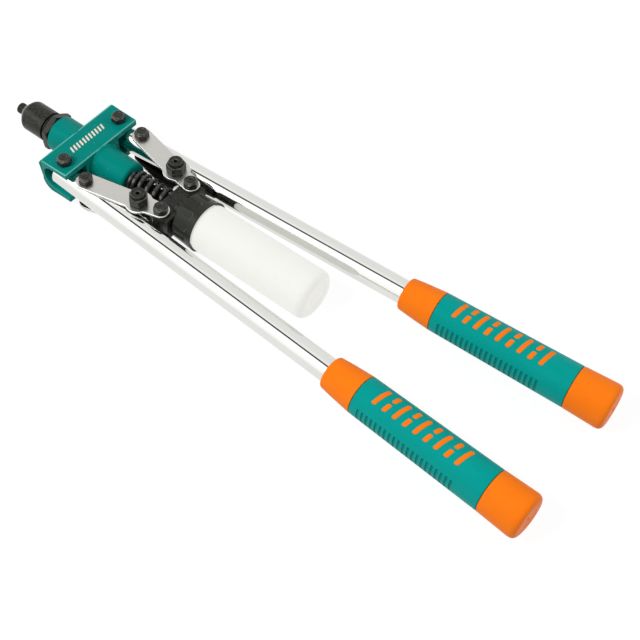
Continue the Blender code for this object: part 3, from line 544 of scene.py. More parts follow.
def black_oxide(name, dark, light, roughness, metallic=0.2, shine=0.22):
    """Blackened steel, a little cloudy and oiled."""
    finish = Finish(name, metallic, shine)
    cloud = finish.step(finish.noise(0.0019, 3.0), 0.38, 0.68)
    finish.colour(cloud, (dark, dark, dark * 0.86), (light, light, light * 0.85))
    finish.feed("Roughness", roughness - 0.06 + cloud * 0.16)
    finish.bump(finish.noise(0.0016, 3.0), 0.00016)
    finish.bump(finish.noise(0.0005, 2.0), 0.00003)
    return finish.material


def black_moulding(name, dark, light):
    """Black plastic of the collar."""
    finish = Finish(name, shine=0.16)
    finish.colour(finish.noise(0.006, 3.0), dark, light)
    finish.feed("Roughness", 0.24 + finish.noise(0.003, 3.0) * 0.16)
    finish.bump(finish.noise(0.0006, 2.0), 0.00003)
    return finish.material


def milky_plastic():
    """Translucent blown plastic, yellowish at the neck. A faint emission, painted light, stands for the light let
    through.
    """
    # Subsurface settings, and an emission that is painted light: the bottle glows though it is no lamp.
    translucency_and_painted_glow = {
        "Subsurface Weight": 0.35, "Subsurface Radius": (1.0, 0.95, 0.85), "Subsurface Scale": 0.006,
        "Emission Color": (1.0, 1.0, 0.965, 1.0), "Emission Strength": 0.58,
    }
    finish = Finish("milky bottle plastic", shine=0.14, fixed=translucency_and_painted_glow)
    wander = finish.mix(finish.noise(0.020, 3.0), (0.290, 0.290, 0.276, 1.0), (0.315, 0.315, 0.300, 1.0))
    neck = (TOOL.translation.x + (COLLAR_REAR + 1.6) * MM) - finish.along()
    # Yellower and darker towards the collar.
    neck_tint = finish.step(neck * 400.0, 0.0, 0.6)
    finish.feed("Base Color", finish.mix(neck_tint, wander, (0.250, 0.220, 0.120, 1.0)))
    finish.feed("Roughness", 0.42 + finish.noise(0.005, 3.0) * 0.12)
    finish.bump(finish.noise(0.0120, 1.0), 0.00012)
    return finish.material


def chrome_plate():
    """Bright chrome on drawn tube, with faint haze."""
    finish = Finish("chrome plate", metallic=1.0)
    haze = finish.step(finish.noise(0.008, 4.0, (0.2, 1.0, 1.0)), 0.45, 0.80)
    finish.colour(haze, (0.733, 0.741, 0.712), (0.705, 0.713, 0.684))
    finish.feed("Roughness", 0.035 + haze * 0.02)
    return finish.material


def zinc_plate(name, dark, light):
    """Satin zinc on rolled plate, its grain along the plate."""
    finish = Finish(name, metallic=1.0)
    grain = finish.noise(0.0006, 3.0, (0.16, 1.0, 1.0))
    finish.colour(grain, dark, light)
    finish.feed("Roughness", 0.24 + finish.noise(0.002, 3.0) * 0.16)
    finish.bump(grain, 0.00002)
    return finish.material


def turned_steel():
    """Bright turned steel."""
    finish = Finish("turned steel", metallic=1.0)
    lines = finish.noise(0.0004, 2.0, (1.0, 0.1, 0.1))
    finish.colour(lines, (0.380, 0.375, 0.365), (0.520, 0.515, 0.500))
    finish.feed("Roughness", 0.22 + lines * 0.16)
    finish.bump(lines, 0.00002)
    return finish.material


def cream_paint():
    """Cream ink on the raised bars of the yoke."""
    finish = Finish("cream ink", shine=0.15)
    finish.colour(finish.noise(0.002, 3.0), (0.800, 0.660, 0.570), (0.900, 0.790, 0.700))
    finish.feed("Roughness", 0.45 + finish.noise(0.001, 2.0) * 0.2)
    return finish.material


CAST_GREEN = cast_paint("cast green paint", (0.0, 0.208, 0.176), (0.0, 0.250, 0.214), 0.05)
# Lighter, glossier green on the yoke's top edges: a painted highlight.
EDGE_HIGHLIGHT_GREEN = cast_paint(
    "green paint with a painted edge highlight", (0.05, 0.36, 0.31), (0.12, 0.46, 0.40), 0.6
)
GRIP_GREEN = grip_rubber("green grip rubber", (0.0, 0.325, 0.290), (0.003, 0.375, 0.338))
# Darker green on the groove floors: painted shade.
GROOVE_SHADE_GREEN = grip_rubber("green rubber with painted shade in the grooves", (0.0, 0.205, 0.182), (0.002, 0.240, 0.214))
GRIP_ORANGE = grip_plastic("orange grip plastic", (1.0, 0.195, 0.005), (1.0, 0.230, 0.011))
SEAM_SHADE = grip_plastic("shaded seam", (0.05, 0.060, 0.030), (0.09, 0.080, 0.040))
BLACK_STEEL = black_oxide("black oxide steel", 0.013, 0.036, 0.34)
# Lighter black oxide on the chamfers of bolt heads and spare nosepieces: a painted highlight.
EDGE_HIGHLIGHT_STEEL = black_oxide("black oxide with painted edge highlights", 0.030, 0.120, 0.30, 0.3, 0.5)
SPRING_BLACK = black_oxide("black spring steel", 0.010, 0.016, 0.20, 0.2, 0.9)
BLACK_PLASTIC = black_moulding("black collar plastic", (0.019, 0.021, 0.017), (0.026, 0.028, 0.023))
# Lighter black plastic on the rims of the collar's recesses: a painted highlight.
RIM_HIGHLIGHT_PLASTIC = black_moulding(
    "black plastic with painted rim highlights", (0.060, 0.063, 0.054), (0.090, 0.094, 0.082)
)
MILKY_PLASTIC = milky_plastic()
CHROME = chrome_plate()
ZINC = zinc_plate("satin zinc plate", (0.530, 0.520, 0.490), (0.635, 0.624, 0.590))
# Near-white zinc on the upper plates' rounded edges: a painted highlight.
EDGE_HIGHLIGHT_ZINC = zinc_plate(
    "zinc with a painted highlight on the stamped edge", (0.900, 0.900, 0.880), (0.960, 0.960, 0.940)
)
# Near-black zinc on the lower plates' top faces: painted shade, where the upper plates shadow them.
SHADED_ZINC = zinc_plate("zinc plate with painted shade", (0.014, 0.014, 0.012), (0.026, 0.025, 0.022))
STEEL = turned_steel()
CREAM = cream_paint()
FINISHES = {
    "cast_green": CAST_GREEN,
    "grip_green": GRIP_GREEN,
    "grip_orange": GRIP_ORANGE,
    "black_steel": BLACK_STEEL,
    "spring_steel": SPRING_BLACK,
    "black_plastic": BLACK_PLASTIC,
    "milky_plastic": MILKY_PLASTIC,
    "chrome": CHROME,
    "zinc": ZINC,
    "steel": STEEL,
}


# Places of the arms and links


def arm_place(name):
    """Coordinates of one arm: X runs along its tube from its pivot."""
    pivot = Vector(JOINTS[f"{name}_arm_hinge"]["pos_m"])
    return Matrix.Translation(pivot) @ Matrix.Rotation(SIDES[name] * ARM_SPLAY, 4, "Z")


def link_place(name):
    """Coordinates of one pair of links: X runs from its front bolt to its rear one."""
    front = Vector(JOINTS[f"{name}_link_hinge"]["pos_m"])
    rear = TOOL @ (tool_middle(f"{name}_link_rear_bolt") * MM)
    turn = math.atan2(rear.y - front.y, rear.x - front.x)
    return Matrix.Translation(front) @ Matrix.Rotation(turn, 4, "Z")


def at(x, y, z=0.0):
    """A place in the tool's coordinates, in millimetres."""
    return TOOL @ Matrix.Translation((x * MM, y * MM, z * MM))


# Pieces


def yoke_outline():
    """Side outline of the yoke bar, X and Z."""
    top, low = YOKE_TOP_ROUND, YOKE_LOWER_ROUND
    outline = [Vector((YOKE_REAR, YOKE_LOW)), Vector((YOKE_REAR, YOKE_HIGH))]
    outline += arc(YOKE_FRONT + top, YOKE_HIGH - top, top, 90, 180)
    outline += arc(YOKE_FRONT + low, YOKE_LOW + low, low, 180, 270, 16)
    return outline


def clevis_cutter(side):
    """The slot for one tube, its mouth flared so that the casting's edge is rounded there."""
    front = YOKE_FRONT + CLEVIS_WALL
    rear = YOKE_REAR + 2 * SLOT_HALF_HEIGHT
    stops = [(CLEVIS_CORE, 0.0), (YOKE_HALF_WIDTH - YOKE_EDGE, 0.0)]
    stops += [
        (YOKE_HALF_WIDTH - YOKE_EDGE * (1 - math.sin(a)), YOKE_EDGE * (1 - math.cos(a)))
        for a in (math.radians(30), math.radians(60), math.radians(90))
    ]
    stops.append((YOKE_HALF_WIDTH + 2.0, YOKE_EDGE + 2.0))
    loops = []
    for reach, grown in stops:
        half = SLOT_HALF_HEIGHT + grown
        turn = CLEVIS_ROUND + grown
        outline = [Vector((rear, -half)), Vector((rear, half))]
        outline += arc(front + CLEVIS_ROUND, half - turn, turn, 90, 180, 16)
        outline += arc(front + CLEVIS_ROUND, turn - half, turn, 180, 270, 16)
        loops.append([(x, side * reach, z) for x, z in outline])
    return lofted(loops)


def tube_end_room(side):
    """The rounded room that a tube's front end turns in."""
    limit = math.degrees(math.acos(TUBE_RADIUS / SWEEP_RADIUS))
    rim = [(-along, reach) for along, reach in arc(0.0, 0.0, SWEEP_RADIUS, limit, 180 - limit, 24)]
    room = upright(turned([(-TUBE_RADIUS, 0.0), *rim, (TUBE_RADIUS, 0.0)]))
    bmesh.ops.translate(room, vec=(0.0, side * ARM_PIVOT_Y, 0.0), verts=room.verts)
    return room


def head():
    """The green casting: yoke bar, barrels, clevis slots, holes and bore."""
    bar = prism(yoke_outline(), -YOKE_HALF_WIDTH, YOKE_HALF_WIDTH)
    bar.transform(Matrix.Rotation(math.radians(90), 4, "X"))
    rounded(bar, YOKE_EDGE)
    front = softened([
        (FRONT_BARREL_FRONT, 0.0), (FRONT_BARREL_FRONT, FRONT_BARREL_RADIUS, 0.9),
        (0.0, FRONT_BARREL_RADIUS), (0.0, 0.0),
    ])
    rear = softened([
        (0.0, 0.0), (0.0, REAR_BARREL_ROOT + 0.85), (YOKE_REAR + 1.3, REAR_BARREL_ROOT + 0.85, 0.6),
        (YOKE_REAR + 1.9, REAR_BARREL_ROOT, 0.5), (YOKE_REAR + 9.0, REAR_BARREL_ROOT - 0.2),
        (REAR_BARREL_REAR, REAR_BARREL_TIP, REAR_BARREL_ROUND), (REAR_BARREL_REAR, 0.0),
    ])
    tools = [("UNION", turned(front)), ("UNION", turned(rear))]
    for side in SIDES.values():
        pivot = (0.0, side * ARM_PIVOT_Y)
        tools.append(("DIFFERENCE", clevis_cutter(side)))
        tools.append(("DIFFERENCE", tube_end_room(side)))
        hole = cylinder(YOKE_BOLT_HOLE, 2 * YOKE_LOW, 2 * YOKE_HIGH, SMALL_STEPS, pivot)
        tools.append(("DIFFERENCE", hole))
    bore = [(FRONT_BARREL_FRONT - 2.0, 0.0), (FRONT_BARREL_FRONT - 2.0, HEAD_BORE)]
    bore += [(HOUSING_REAR + FIT, HEAD_BORE), (HOUSING_REAR + FIT, CASE_BORE), (-10.0, CASE_BORE)]
    bore += [(-8.2, ROD_BORE), (REAR_BARREL_REAR - 0.6, ROD_BORE)]
    bore += [(REAR_BARREL_REAR + 2.0, 7.4), (REAR_BARREL_REAR + 2.0, 0.0)]
    tools.append(("DIFFERENCE", turned(bore)))
    shape = combined(bar, *tools)
    for face in shape.faces:
        centre = face.calc_center_median()
        on_yoke = YOKE_FRONT <= centre.x <= YOKE_REAR and centre.z > YOKE_HIGH - YOKE_EDGE
        # Slanting faces along the yoke's top edges take the green with the painted highlight.
        face.material_index = 1 if on_yoke and 0.1 < face.normal.z < 0.99 else 0
    piece("cast_head", shape, (CAST_GREEN, EDGE_HIGHLIGHT_GREEN), "head", stands_for="head_casting")


def raised_bar(length, width, height, lean=0.0, corner=0.45):
    """A raised bar along Y on z = 0, its corners and top edge rounded. Lean shears it along X."""
    bm = bmesh.new()
    bmesh.ops.create_grid(bm, x_segments=6, y_segments=22, size=1.0)
    half_length, half_width = length / 2, width / 2
    round_part = corner * width
    for vert in bm.verts:
        u, v = vert.co.x, vert.co.y
        into_end = max(0.0, abs(v) * half_length - (half_length - round_part)) / round_part
        across = half_width - round_part * (1 - math.sqrt(max(0.0, 1 - into_end ** 2)))
        vert.co = (u * across + lean * v * half_length, v * half_length, 0.0)
    geom = bmesh.ops.extrude_face_region(bm, geom=list(bm.faces))["geom"]
    top = [item for item in geom if isinstance(item, bmesh.types.BMFace)]
    verts = {vert for face in top for vert in face.verts}
    edge = min(0.25, height * 0.4)
    bmesh.ops.translate(bm, vec=(0, 0, height - edge), verts=list(verts))
    bmesh.ops.inset_region(bm, faces=top, thickness=edge, depth=edge, use_even_offset=True)
    return welded(bm)


def yoke_marks():
    """A row of slanted cream bars cast on the yoke's top, plain decoration."""
    bars = []
    for index in range(MARK_COUNT):
        bar = raised_bar(MARK_LENGTH, 1.35, 0.35, 0.28)
        bar.transform(Matrix.Rotation(math.radians(-90), 4, "Z"))
        along = (index - (MARK_COUNT - 1) / 2) * MARK_PITCH
        bmesh.ops.translate(bar, vec=(MARK_X, along, YOKE_HIGH - 0.05), verts=bar.verts)
        bars.append(bar)
    piece("yoke_marks", joined(*bars), CREAM, "head")


def nose():
    """Housing, lock nut and the fitted nosepiece."""
    thread_end = FRONT_BARREL_FRONT - 5.3
    rings = []
    for start in (HOUSING_SHOULDER + 0.5, HOUSING_SHOULDER + 1.9):
        rings += [(start, HOUSING_THREAD), (start + 0.1, THREAD_RING, 0.2)]
        rings += [(start + 0.9, THREAD_RING, 0.2), (start + 1.0, HOUSING_THREAD)]
    mouth = SHANK_RADIUS + FIT
    inside = HOUSING_FRONT + 4.0
    profile = softened([
        (HOUSING_FRONT, mouth), (HOUSING_FRONT, HOUSING_RADIUS - HOUSING_CHAMFER, 0.3),
        (HOUSING_FRONT + HOUSING_CHAMFER, HOUSING_RADIUS, 1.6), (HOUSING_SHOULDER, HOUSING_RADIUS, 0.4),
        (HOUSING_SHOULDER, HOUSING_THREAD), *rings, (thread_end, HOUSING_THREAD),
        (HOUSING_REAR, HOUSING_THREAD), (HOUSING_REAR, CASE_BORE), (inside, CASE_BORE), (inside, mouth),
    ])
    housing = turned(profile, closed=True)
    piece("nose_tube", housing, BLACK_STEEL, "head", stands_for="nose_housing")
    rear = FRONT_BARREL_FRONT - FIT
    front = rear - 5.0
    corner = LOCK_NUT_FLATS / math.sqrt(3)
    blank = hexagon(LOCK_NUT_FLATS, front, rear)
    crown = turned([
        (front, 0.0), (front, LOCK_NUT_FLATS / 2 - 0.3), (front + 1.1, corner + 0.3),
        (rear - 1.1, corner + 0.3), (rear, LOCK_NUT_FLATS / 2 - 0.3), (rear, 0.0),
    ])
    hole = cylinder(HEAD_BORE, front - 1, rear + 1, TURN_STEPS)
    nut = combined(blank, ("INTERSECT", upright(crown)), ("DIFFERENCE", hole))
    nut.transform(Matrix.Rotation(math.radians(90), 4, "Y"))
    piece("lock_nut", nut, BLACK_STEEL, "head", stands_for="housing_lock_nut", smooth=25)
    grooves = []
    for index in range(3):
        start = NOSE_TIP + 1.1 + 1.25 * index
        grooves += [(start, TIP_RADIUS), (start + 0.35, TIP_RADIUS - 0.35), (start + 0.7, TIP_RADIUS)]
    seat = HOUSING_FRONT - FIT
    flange = seat - FLANGE_THICKNESS
    shank_end = seat + SHANK_LENGTH
    profile = softened([
        (NOSE_TIP, MANDREL_HOLE, 0.2), (NOSE_TIP, TIP_RADIUS, 0.5), *grooves, (flange - 0.4, TIP_RADIUS),
        (flange, 4.4), (flange, FLANGE_RADIUS - 1.1, 0.3), (seat, FLANGE_RADIUS, 0.2), (seat, SHANK_RADIUS),
        (shank_end - 1.4, SHANK_RADIUS), (shank_end, 1.9), (shank_end, MANDREL_HOLE),
    ])
    nosepiece = turned(profile, closed=True)
    for face in nosepiece.faces:
        face.material_index = 1 if face.calc_center_median().x > flange - 0.2 else 0
    piece("fitted_nosepiece", nosepiece, (BLACK_STEEL, STEEL), "head", stands_for="nosepiece")


def highlight_chamfers(bm):
    """Gives the slanting faces at a head's top the second finish, a lighter painted highlight."""
    for face in bm.faces:
        face.material_index = 1 if 0.25 < face.normal.z < 0.93 else 0
    return bm


def hex_bolt(head, shank_radius, length):
    """A bolt along Z, its head standing on z = 0: hexagon, chamfer and a tall domed crown."""
    corner = BOLT_FLATS / math.sqrt(3)
    foot = head - CROWN_RISE
    crown = softened([
        (-0.2, 0.0), (-0.2, corner + 0.5), (foot - 0.9, corner + 0.5), (foot, CROWN_RADIUS + 0.02, 0.15),
        (head - 0.7, CROWN_RADIUS - 0.1, 0.5), (head, 2.9, 0.8), (head - 0.05, 2.0, 0.2),
        (head - 0.3, 1.8, 0.2), (head - 0.3, 0.0),
    ])
    blank = hexagon(BOLT_FLATS, 0.0, head)
    rounded(blank, 0.25, 50.0, 2, lambda edge: abs(edge.verts[0].co.z - edge.verts[1].co.z) > 1.0)
    shape = combined(blank, ("INTERSECT", upright(turned(crown, SMALL_STEPS))))
    low = -length
    shank = turned(softened([
        (low, 0.0), (low, shank_radius, 0.5), (0.1, shank_radius), (0.1, 0.0)
    ]), SMALL_STEPS)
    return joined(highlight_chamfers(shape), upright(shank))


def lock_nut(shank_radius):
    """A nut along Z that hangs under z = 0: hexagon, locking collar and its plastic ring's bore."""
    corner = BOLT_FLATS / math.sqrt(3)
    crown = softened([
        (-NUT_HEIGHT, 0.0), (-NUT_HEIGHT, 3.6, 0.4), (-3.4, 4.1, 0.2), (-2.9, corner + 0.5),
        (-0.4, corner + 0.5), (0.0, BOLT_FLATS / 2), (0.0, 0.0),
    ])
    blank = hexagon(BOLT_FLATS, -NUT_HEIGHT, 0.0)
    hole = cylinder(shank_radius + FIT, -NUT_HEIGHT - 1.0, 1.0)
    return combined(blank, ("INTERSECT", upright(turned(crown, SMALL_STEPS))), ("DIFFERENCE", hole))


def fasteners():
    """The six bolts and their nuts."""
    for name, side in SIDES.items():
        front = link_place(name)
        rear = tool_middle(f"{name}_link_rear_bolt")
        stacks = [
            ("yoke", at(0.0, side * ARM_PIVOT_Y), "head", YOKE_HIGH, YOKE_BOLT_HEAD, YOKE_BOLT_RADIUS),
            ("link_front", front, f"{name}_arm", LINK_TOP, LINK_BOLT_HEAD, LINK_BOLT_RADIUS),
            ("link_rear", at(*rear.xy), "pull_assembly", LINK_TOP, LINK_BOLT_HEAD, LINK_BOLT_RADIUS),
        ]
        for part, place, body, seat, head_height, radius in stacks:
            seat += FIT
            length = 2 * seat + BOLT_TAIL
            above = place @ Matrix.Translation((0, 0, seat * MM))
            below = place @ Matrix.Translation((0, 0, -seat * MM))
            bolt = hex_bolt(head_height, radius, length)
            black = (BLACK_STEEL, EDGE_HIGHLIGHT_STEEL)
            node = f"{name}_{part}_bolt"
            piece(node + "_head", bolt, black, body, above, node, 25)
            node = f"{name}_{part}_nut"
            piece(node + "_body", lock_nut(radius), ZINC, body, below, node, 25)


def link_outline(length):
    """A link's outline: round ends, a round boss for the spare nosepiece and a waist behind it."""
    width, waist, boss, fillet = LINK_HALF_WIDTH, LINK_WAIST, SPARE_BOSS, LINK_FILLET
    lead_in = math.sqrt((boss + fillet) ** 2 - (width + fillet) ** 2)
    lead_out = math.sqrt((boss + fillet) ** 2 - (waist + fillet) ** 2)
    angle_in = math.degrees(math.atan2(width + fillet, -lead_in))
    angle_out = math.degrees(math.atan2(waist + fillet, lead_out))
    upper = arc(0.0, 0.0, width, 180, 90, 16)
    upper += arc(SPARE_ALONG_LINK - lead_in, width + fillet, fillet, 270, angle_in + 180, 6)
    upper += arc(SPARE_ALONG_LINK, 0.0, boss, angle_in, angle_out, 16)
    upper += arc(SPARE_ALONG_LINK + lead_out, waist + fillet, fillet, angle_out + 180, 270, 6)
    upper += arc(length, 0.0, LINK_REAR_RADIUS, 80, 0, 16)
    return upper + [Vector((x, -y)) for x, y in reversed(upper[1:-1])]


def links():
    """Four link plates, their stamped edges rounded, and the two spare nosepieces."""
    for name in SIDES:
        place = link_place(name)
        rear = place.inverted() @ (TOOL @ (tool_middle(f"{name}_link_rear_bolt") * MM))
        length = rear.x / MM
        for level, middle in (("upper", LINK_LOW), ("lower", -LINK_TOP)):
            plate = prism(link_outline(length), 0.0, LINK_THICKNESS)
            rounded(plate, LINK_EDGE, 45.0)
            slot = arc(length + LINK_SLOT_REACH, 0.0, LINK_SLOT_RADIUS, -90, 90, 16)
            slot += arc(length - LINK_SLOT_REACH, 0.0, LINK_SLOT_RADIUS, 90, 270, 16)
            plate = combined(
                plate,
                ("DIFFERENCE", cylinder(LINK_BOLT_HOLE, -1.0, 3.0)),
                ("DIFFERENCE", cylinder(SPARE_HOLE, -1.0, 3.0, SMALL_STEPS, (SPARE_ALONG_LINK, 0.0))),
                ("DIFFERENCE", prism(slot, -1.0, 3.0)),
            )
            for face in plate.faces:
                # Lower plates' top faces: painted shade.
                if level == "lower" and face.normal.z > 0.9:
                    face.material_index = 1
                # Upper plates' rounded edges: a painted highlight.
                elif level == "upper" and 0.1 < face.normal.z < 0.9:
                    face.material_index = 2
            where = place @ Matrix.Translation((0, 0, middle * MM))
            node = f"{name}_{level}_link"
            finishes = (ZINC, SHADED_ZINC, EDGE_HIGHLIGHT_ZINC)
            piece(node + "_plate", plate, finishes, f"{name}_links", where, node)
        where = place @ Matrix.Translation((SPARE_ALONG_LINK * MM, 0, (LINK_TOP + FIT) * MM))
        node = f"{name}_spare_nosepiece"
        finishes = (BLACK_STEEL, EDGE_HIGHLIGHT_STEEL)
        piece(node + "_body", spare_nosepiece(), finishes, f"{name}_links", where, node, 28)


def spare_nosepiece():
    """A spare nosepiece along Z, its hexagon on z = 0: flange, hexagon, cylinder and hole."""
    corner = SPARE_FLATS / math.sqrt(3)
    crown = softened([
        (0.0, 0.0), (0.0, corner - 0.2), (0.9, corner + 0.4), (SPARE_HEX - 0.8, corner + 0.4),
        (SPARE_HEX, 5.2), (SPARE_HEX, 0.0),
    ])
    blank = hexagon(SPARE_FLATS, 0.0, SPARE_HEX)
    column = turned(softened([
        (-SHANK_LENGTH, 0.0), (-SHANK_LENGTH, SHANK_RADIUS, 0.4), (0.2, SHANK_RADIUS),
        (0.2, SPARE_BODY_RADIUS), (SPARE_HEIGHT, SPARE_BODY_RADIUS, 0.4), (SPARE_HEIGHT, 0.0),
    ]), SMALL_STEPS)
    hole = turned([
        (-7.0, 0.0), (-7.0, MANDREL_HOLE), (SPARE_HEIGHT - 0.5, MANDREL_HOLE), (SPARE_HEIGHT, 1.8),
        (9.0, 2.2), (9.0, 0.0),
    ], SMALL_STEPS)
    shape = combined(
        blank, ("INTERSECT", upright(turned(crown, SMALL_STEPS))), ("UNION", upright(column)),
        ("DIFFERENCE", upright(hole)),
    )
    return highlight_chamfers(shape)


def pull_block():
    """The black block that the links pull, with its lugs, boss and bores."""
    outline = softened([
        (BLOCK_FRONT, -BLOCK_HALF_WIDTH, 0.6), (BLOCK_REAR, -BLOCK_HALF_WIDTH, 0.6),
        (BLOCK_REAR, BLOCK_HALF_WIDTH, 0.6), (BLOCK_FRONT, BLOCK_HALF_WIDTH, 0.6),
    ])
    block = prism(outline, -BLOCK_HALF_HEIGHT, BLOCK_HALF_HEIGHT)
    lugs = [
        ("UNION", cylinder(
            LUG_RADIUS, -BLOCK_HALF_HEIGHT, BLOCK_HALF_HEIGHT, TURN_STEPS, (LUG.x, side * LUG.y)
        ))
        for side in SIDES.values()
    ]
    block = combined(block, *lugs)
    rounded(block, 0.45, 50.0)
    boss = [(78.0, 0.0), (78.0, BOSS_RADIUS), (BOSS_REAR, BOSS_RADIUS), (BOSS_REAR, 0.0)]
    bore = [(60.0, 0.0), (60.0, ROD_BORE), (95.0, ROD_BORE), (95.0, 0.0)]
    tools = [("UNION", turned(boss)), ("DIFFERENCE", turned(bore))]
    for side in SIDES.values():
        hole = cylinder(LINK_BOLT_HOLE, -12.0, 12.0, SMALL_STEPS, (LUG.x, side * LUG.y))
        tools.append(("DIFFERENCE", hole))
    shape = combined(block, *tools)
    piece("pull_block_body", shape, BLACK_STEEL, "pull_assembly", stands_for="pull_block")


def pull_rod():
    """The hollow rod that runs through the spring."""
    front, rear = [corner.x for corner in tool_box("pull_rod")]
    profile = softened([
        (front, ROD_HOLE), (front, ROD_RADIUS, 0.4), (rear, ROD_RADIUS, 0.4), (rear, ROD_HOLE)
    ])
    rod = turned(profile, SMALL_STEPS, closed=True)
    piece("pull_rod_body", rod, SPRING_BLACK, "pull_assembly", stands_for="pull_rod")


def return_spring():
    """The return spring: closed turns at its front, then open ones, flat under the block."""
    bm = bmesh.new()
    ring = bmesh.ops.create_circle(bm, cap_ends=True, segments=16, radius=SPRING_WIRE_RADIUS)["verts"]
    first = SPRING_FRONT + SPRING_WIRE_RADIUS
    last = SPRING_REAR - SPRING_WIRE_RADIUS
    close = 2 * SPRING_WIRE_RADIUS + 0.1
    bm.transform(Matrix.Translation((first, 0.0, SPRING_RADIUS)))
    bmesh.ops.rotate(
        bm, cent=(first, 0.0, SPRING_RADIUS), matrix=Matrix.Rotation(math.radians(90), 3, "X"), verts=ring
    )
    steps = 32
    stages = [(1.5, close), (4.0, (last - first - 2.0 * close) / 4.0), (0.5, close)]
    geom = list(bm.faces) + list(bm.edges) + list(bm.verts)
    for turns, pitch in stages:
        made = bmesh.ops.spin(
            bm, geom=geom, cent=(0, 0, 0), axis=(1, 0, 0), dvec=(pitch / steps, 0, 0),
            angle=2 * math.pi * turns, steps=int(turns * steps),
        )
        geom = made["geom_last"]
    spring = piece(
        "return_spring_coil", welded(bm), SPRING_BLACK, "pull_assembly",
        stands_for="return_spring",
    )
    travel = JOINTS["pull_slide"]["range_m"][1] / MM
    keep = 1.0 - travel / (SPRING_REAR - SPRING_FRONT)
    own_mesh(spring)


def collar():
    """Collar on the block's boss, with twelve grip recesses and a thin lip at its rear."""
    profile = softened([
        (COLLAR_FRONT, COLLAR_BORE), (COLLAR_FRONT, COLLAR_FRONT_RADIUS - 0.2, 1.0),
        (COLLAR_FRONT + 7.0, COLLAR_FRONT_RADIUS + 0.25, 2.0),
        (COLLAR_REAR - 2.4, COLLAR_REAR_RADIUS - 0.35, 1.0), (COLLAR_REAR, COLLAR_REAR_RADIUS, 0.25),
        (COLLAR_REAR, COLLAR_REAR_RADIUS - 0.9, 0.25), (COLLAR_REAR - 2.4, NECK_ROOM, 0.5),
        (BOSS_REAR + FIT, NECK_ROOM), (BOSS_REAR + FIT, COLLAR_BORE),
    ])
    body = turned(profile, 144, closed=True)
    levels = [(RECESS_FLOOR, -0.25), (RECESS_FLOOR + 0.08, -0.07), (RECESS_FLOOR + 0.25, 0.0)]
    levels += [(RECESS_FLOOR + 0.75, 0.04), (RECESS_FLOOR + 1.05, 0.20), (RECESS_FLOOR + 1.35, 0.50)]
    levels += [(RECESS_FLOOR + 3.5, 2.65)]
    cutters = []
    for index in range(RECESS_COUNT):
        loops = []
        for level, grown in levels:
            half = RECESS_WIDTH / 2 + grown
            end = RECESS_REAR - COLLAR_FRONT + grown
            outline = softened([(-3.0, -half), (end, -half, 1.6), (end, half, 1.6), (-3.0, half)])
            loops.append([(COLLAR_FRONT + x, y, level) for x, y in outline])
        recess = lofted(loops)
        recess.transform(Matrix.Rotation(2 * math.pi * index / RECESS_COUNT, 4, "X"))
        cutters.append(recess)
    shape = combined(body, ("DIFFERENCE", joined(*cutters)))
    for face in shape.faces:
        centre = face.calc_center_median()
        outward = face.normal.dot(Vector((0.0, centre.y, centre.z)).normalized())
        among_recesses = COLLAR_FRONT + 1.2 < centre.x < RECESS_REAR + 1.0
        # Slanting faces round the recesses take the lighter plastic, a painted highlight.
        face.material_index = 1 if among_recesses and 0.3 < outward < 0.95 else 0
    finishes = (BLACK_PLASTIC, RIM_HIGHLIGHT_PLASTIC)
    piece("collar_body", shape, finishes, "pull_assembly", stands_for="bottle_collar")


def bottle():
    """The blown bottle that catches spent mandrels."""
    shoulder = COLLAR_REAR + 2.4
    mouth = BOTTLE_NECK - BOTTLE_WALL
    base = BOTTLE_END - BASE_HOLLOW
    profile = softened([
        (BOTTLE_MOUTH, mouth), (BOTTLE_MOUTH, BOTTLE_NECK, 0.3), (COLLAR_REAR - 2.0, BOTTLE_NECK, 0.6),
        (COLLAR_REAR + 0.3, BOTTLE_FRONT_RADIUS - 0.3, 0.5), (shoulder, BOTTLE_FRONT_RADIUS, 0.8),
        (BOTTLE_END - 8.0, BOTTLE_REAR_RADIUS - 0.05, 1.0), (BOTTLE_END, BOTTLE_REAR_RADIUS, 5.6),
        (BOTTLE_END, 9.0, 0.8), (base, 7.5, 0.8), (base, 0.0),
    ], 8)
    inside = softened([
        (base - BOTTLE_WALL, 0.0), (base - BOTTLE_WALL, BOTTLE_REAR_RADIUS - BOTTLE_WALL, 4.6),
        (shoulder, BOTTLE_FRONT_RADIUS - BOTTLE_WALL, 1.0), (COLLAR_REAR - 2.0, mouth, 1.0),
        (BOTTLE_MOUTH, mouth),
    ], 8)
    body = turned([*profile, *inside])
    piece("bottle_shell", body, MILKY_PLASTIC, "bottle", stands_for="mandrel_bottle")


def tube(name):
    """Chromed arm tube, its front end rounded, drilled for the two bushes."""
    profile = softened([
        (TUBE_FRONT, TUBE_BORE_RADIUS, 0.3), (TUBE_FRONT, TUBE_RADIUS, TUBE_EDGE), (TUBE_REAR, TUBE_RADIUS),
        (TUBE_REAR, TUBE_BORE_RADIUS),
    ])
    shape = combined(
        turned(profile, closed=True),
        ("DIFFERENCE", cylinder(YOKE_BUSH_HOLE / 2, -9.0, 9.0)),
        ("DIFFERENCE", cylinder(LINK_BUSH_HOLE / 2, -9.0, 9.0, SMALL_STEPS, (LINK_PIVOT_ON_ARM, 0.0))),
    )
    node = f"{name}_arm_tube"
    piece(node + "_body", shape, CHROME, f"{name}_arm", arm_place(name), node)


def sleeve_radius(along):
    """The sleeve's outer radius at a place along the arm."""
    share = (along - SLEEVE_FRONT) / (SLEEVE_REAR - SLEEVE_FRONT)
    return SLEEVE_FRONT_RADIUS + share * (SLEEVE_REAR_RADIUS - SLEEVE_FRONT_RADIUS)


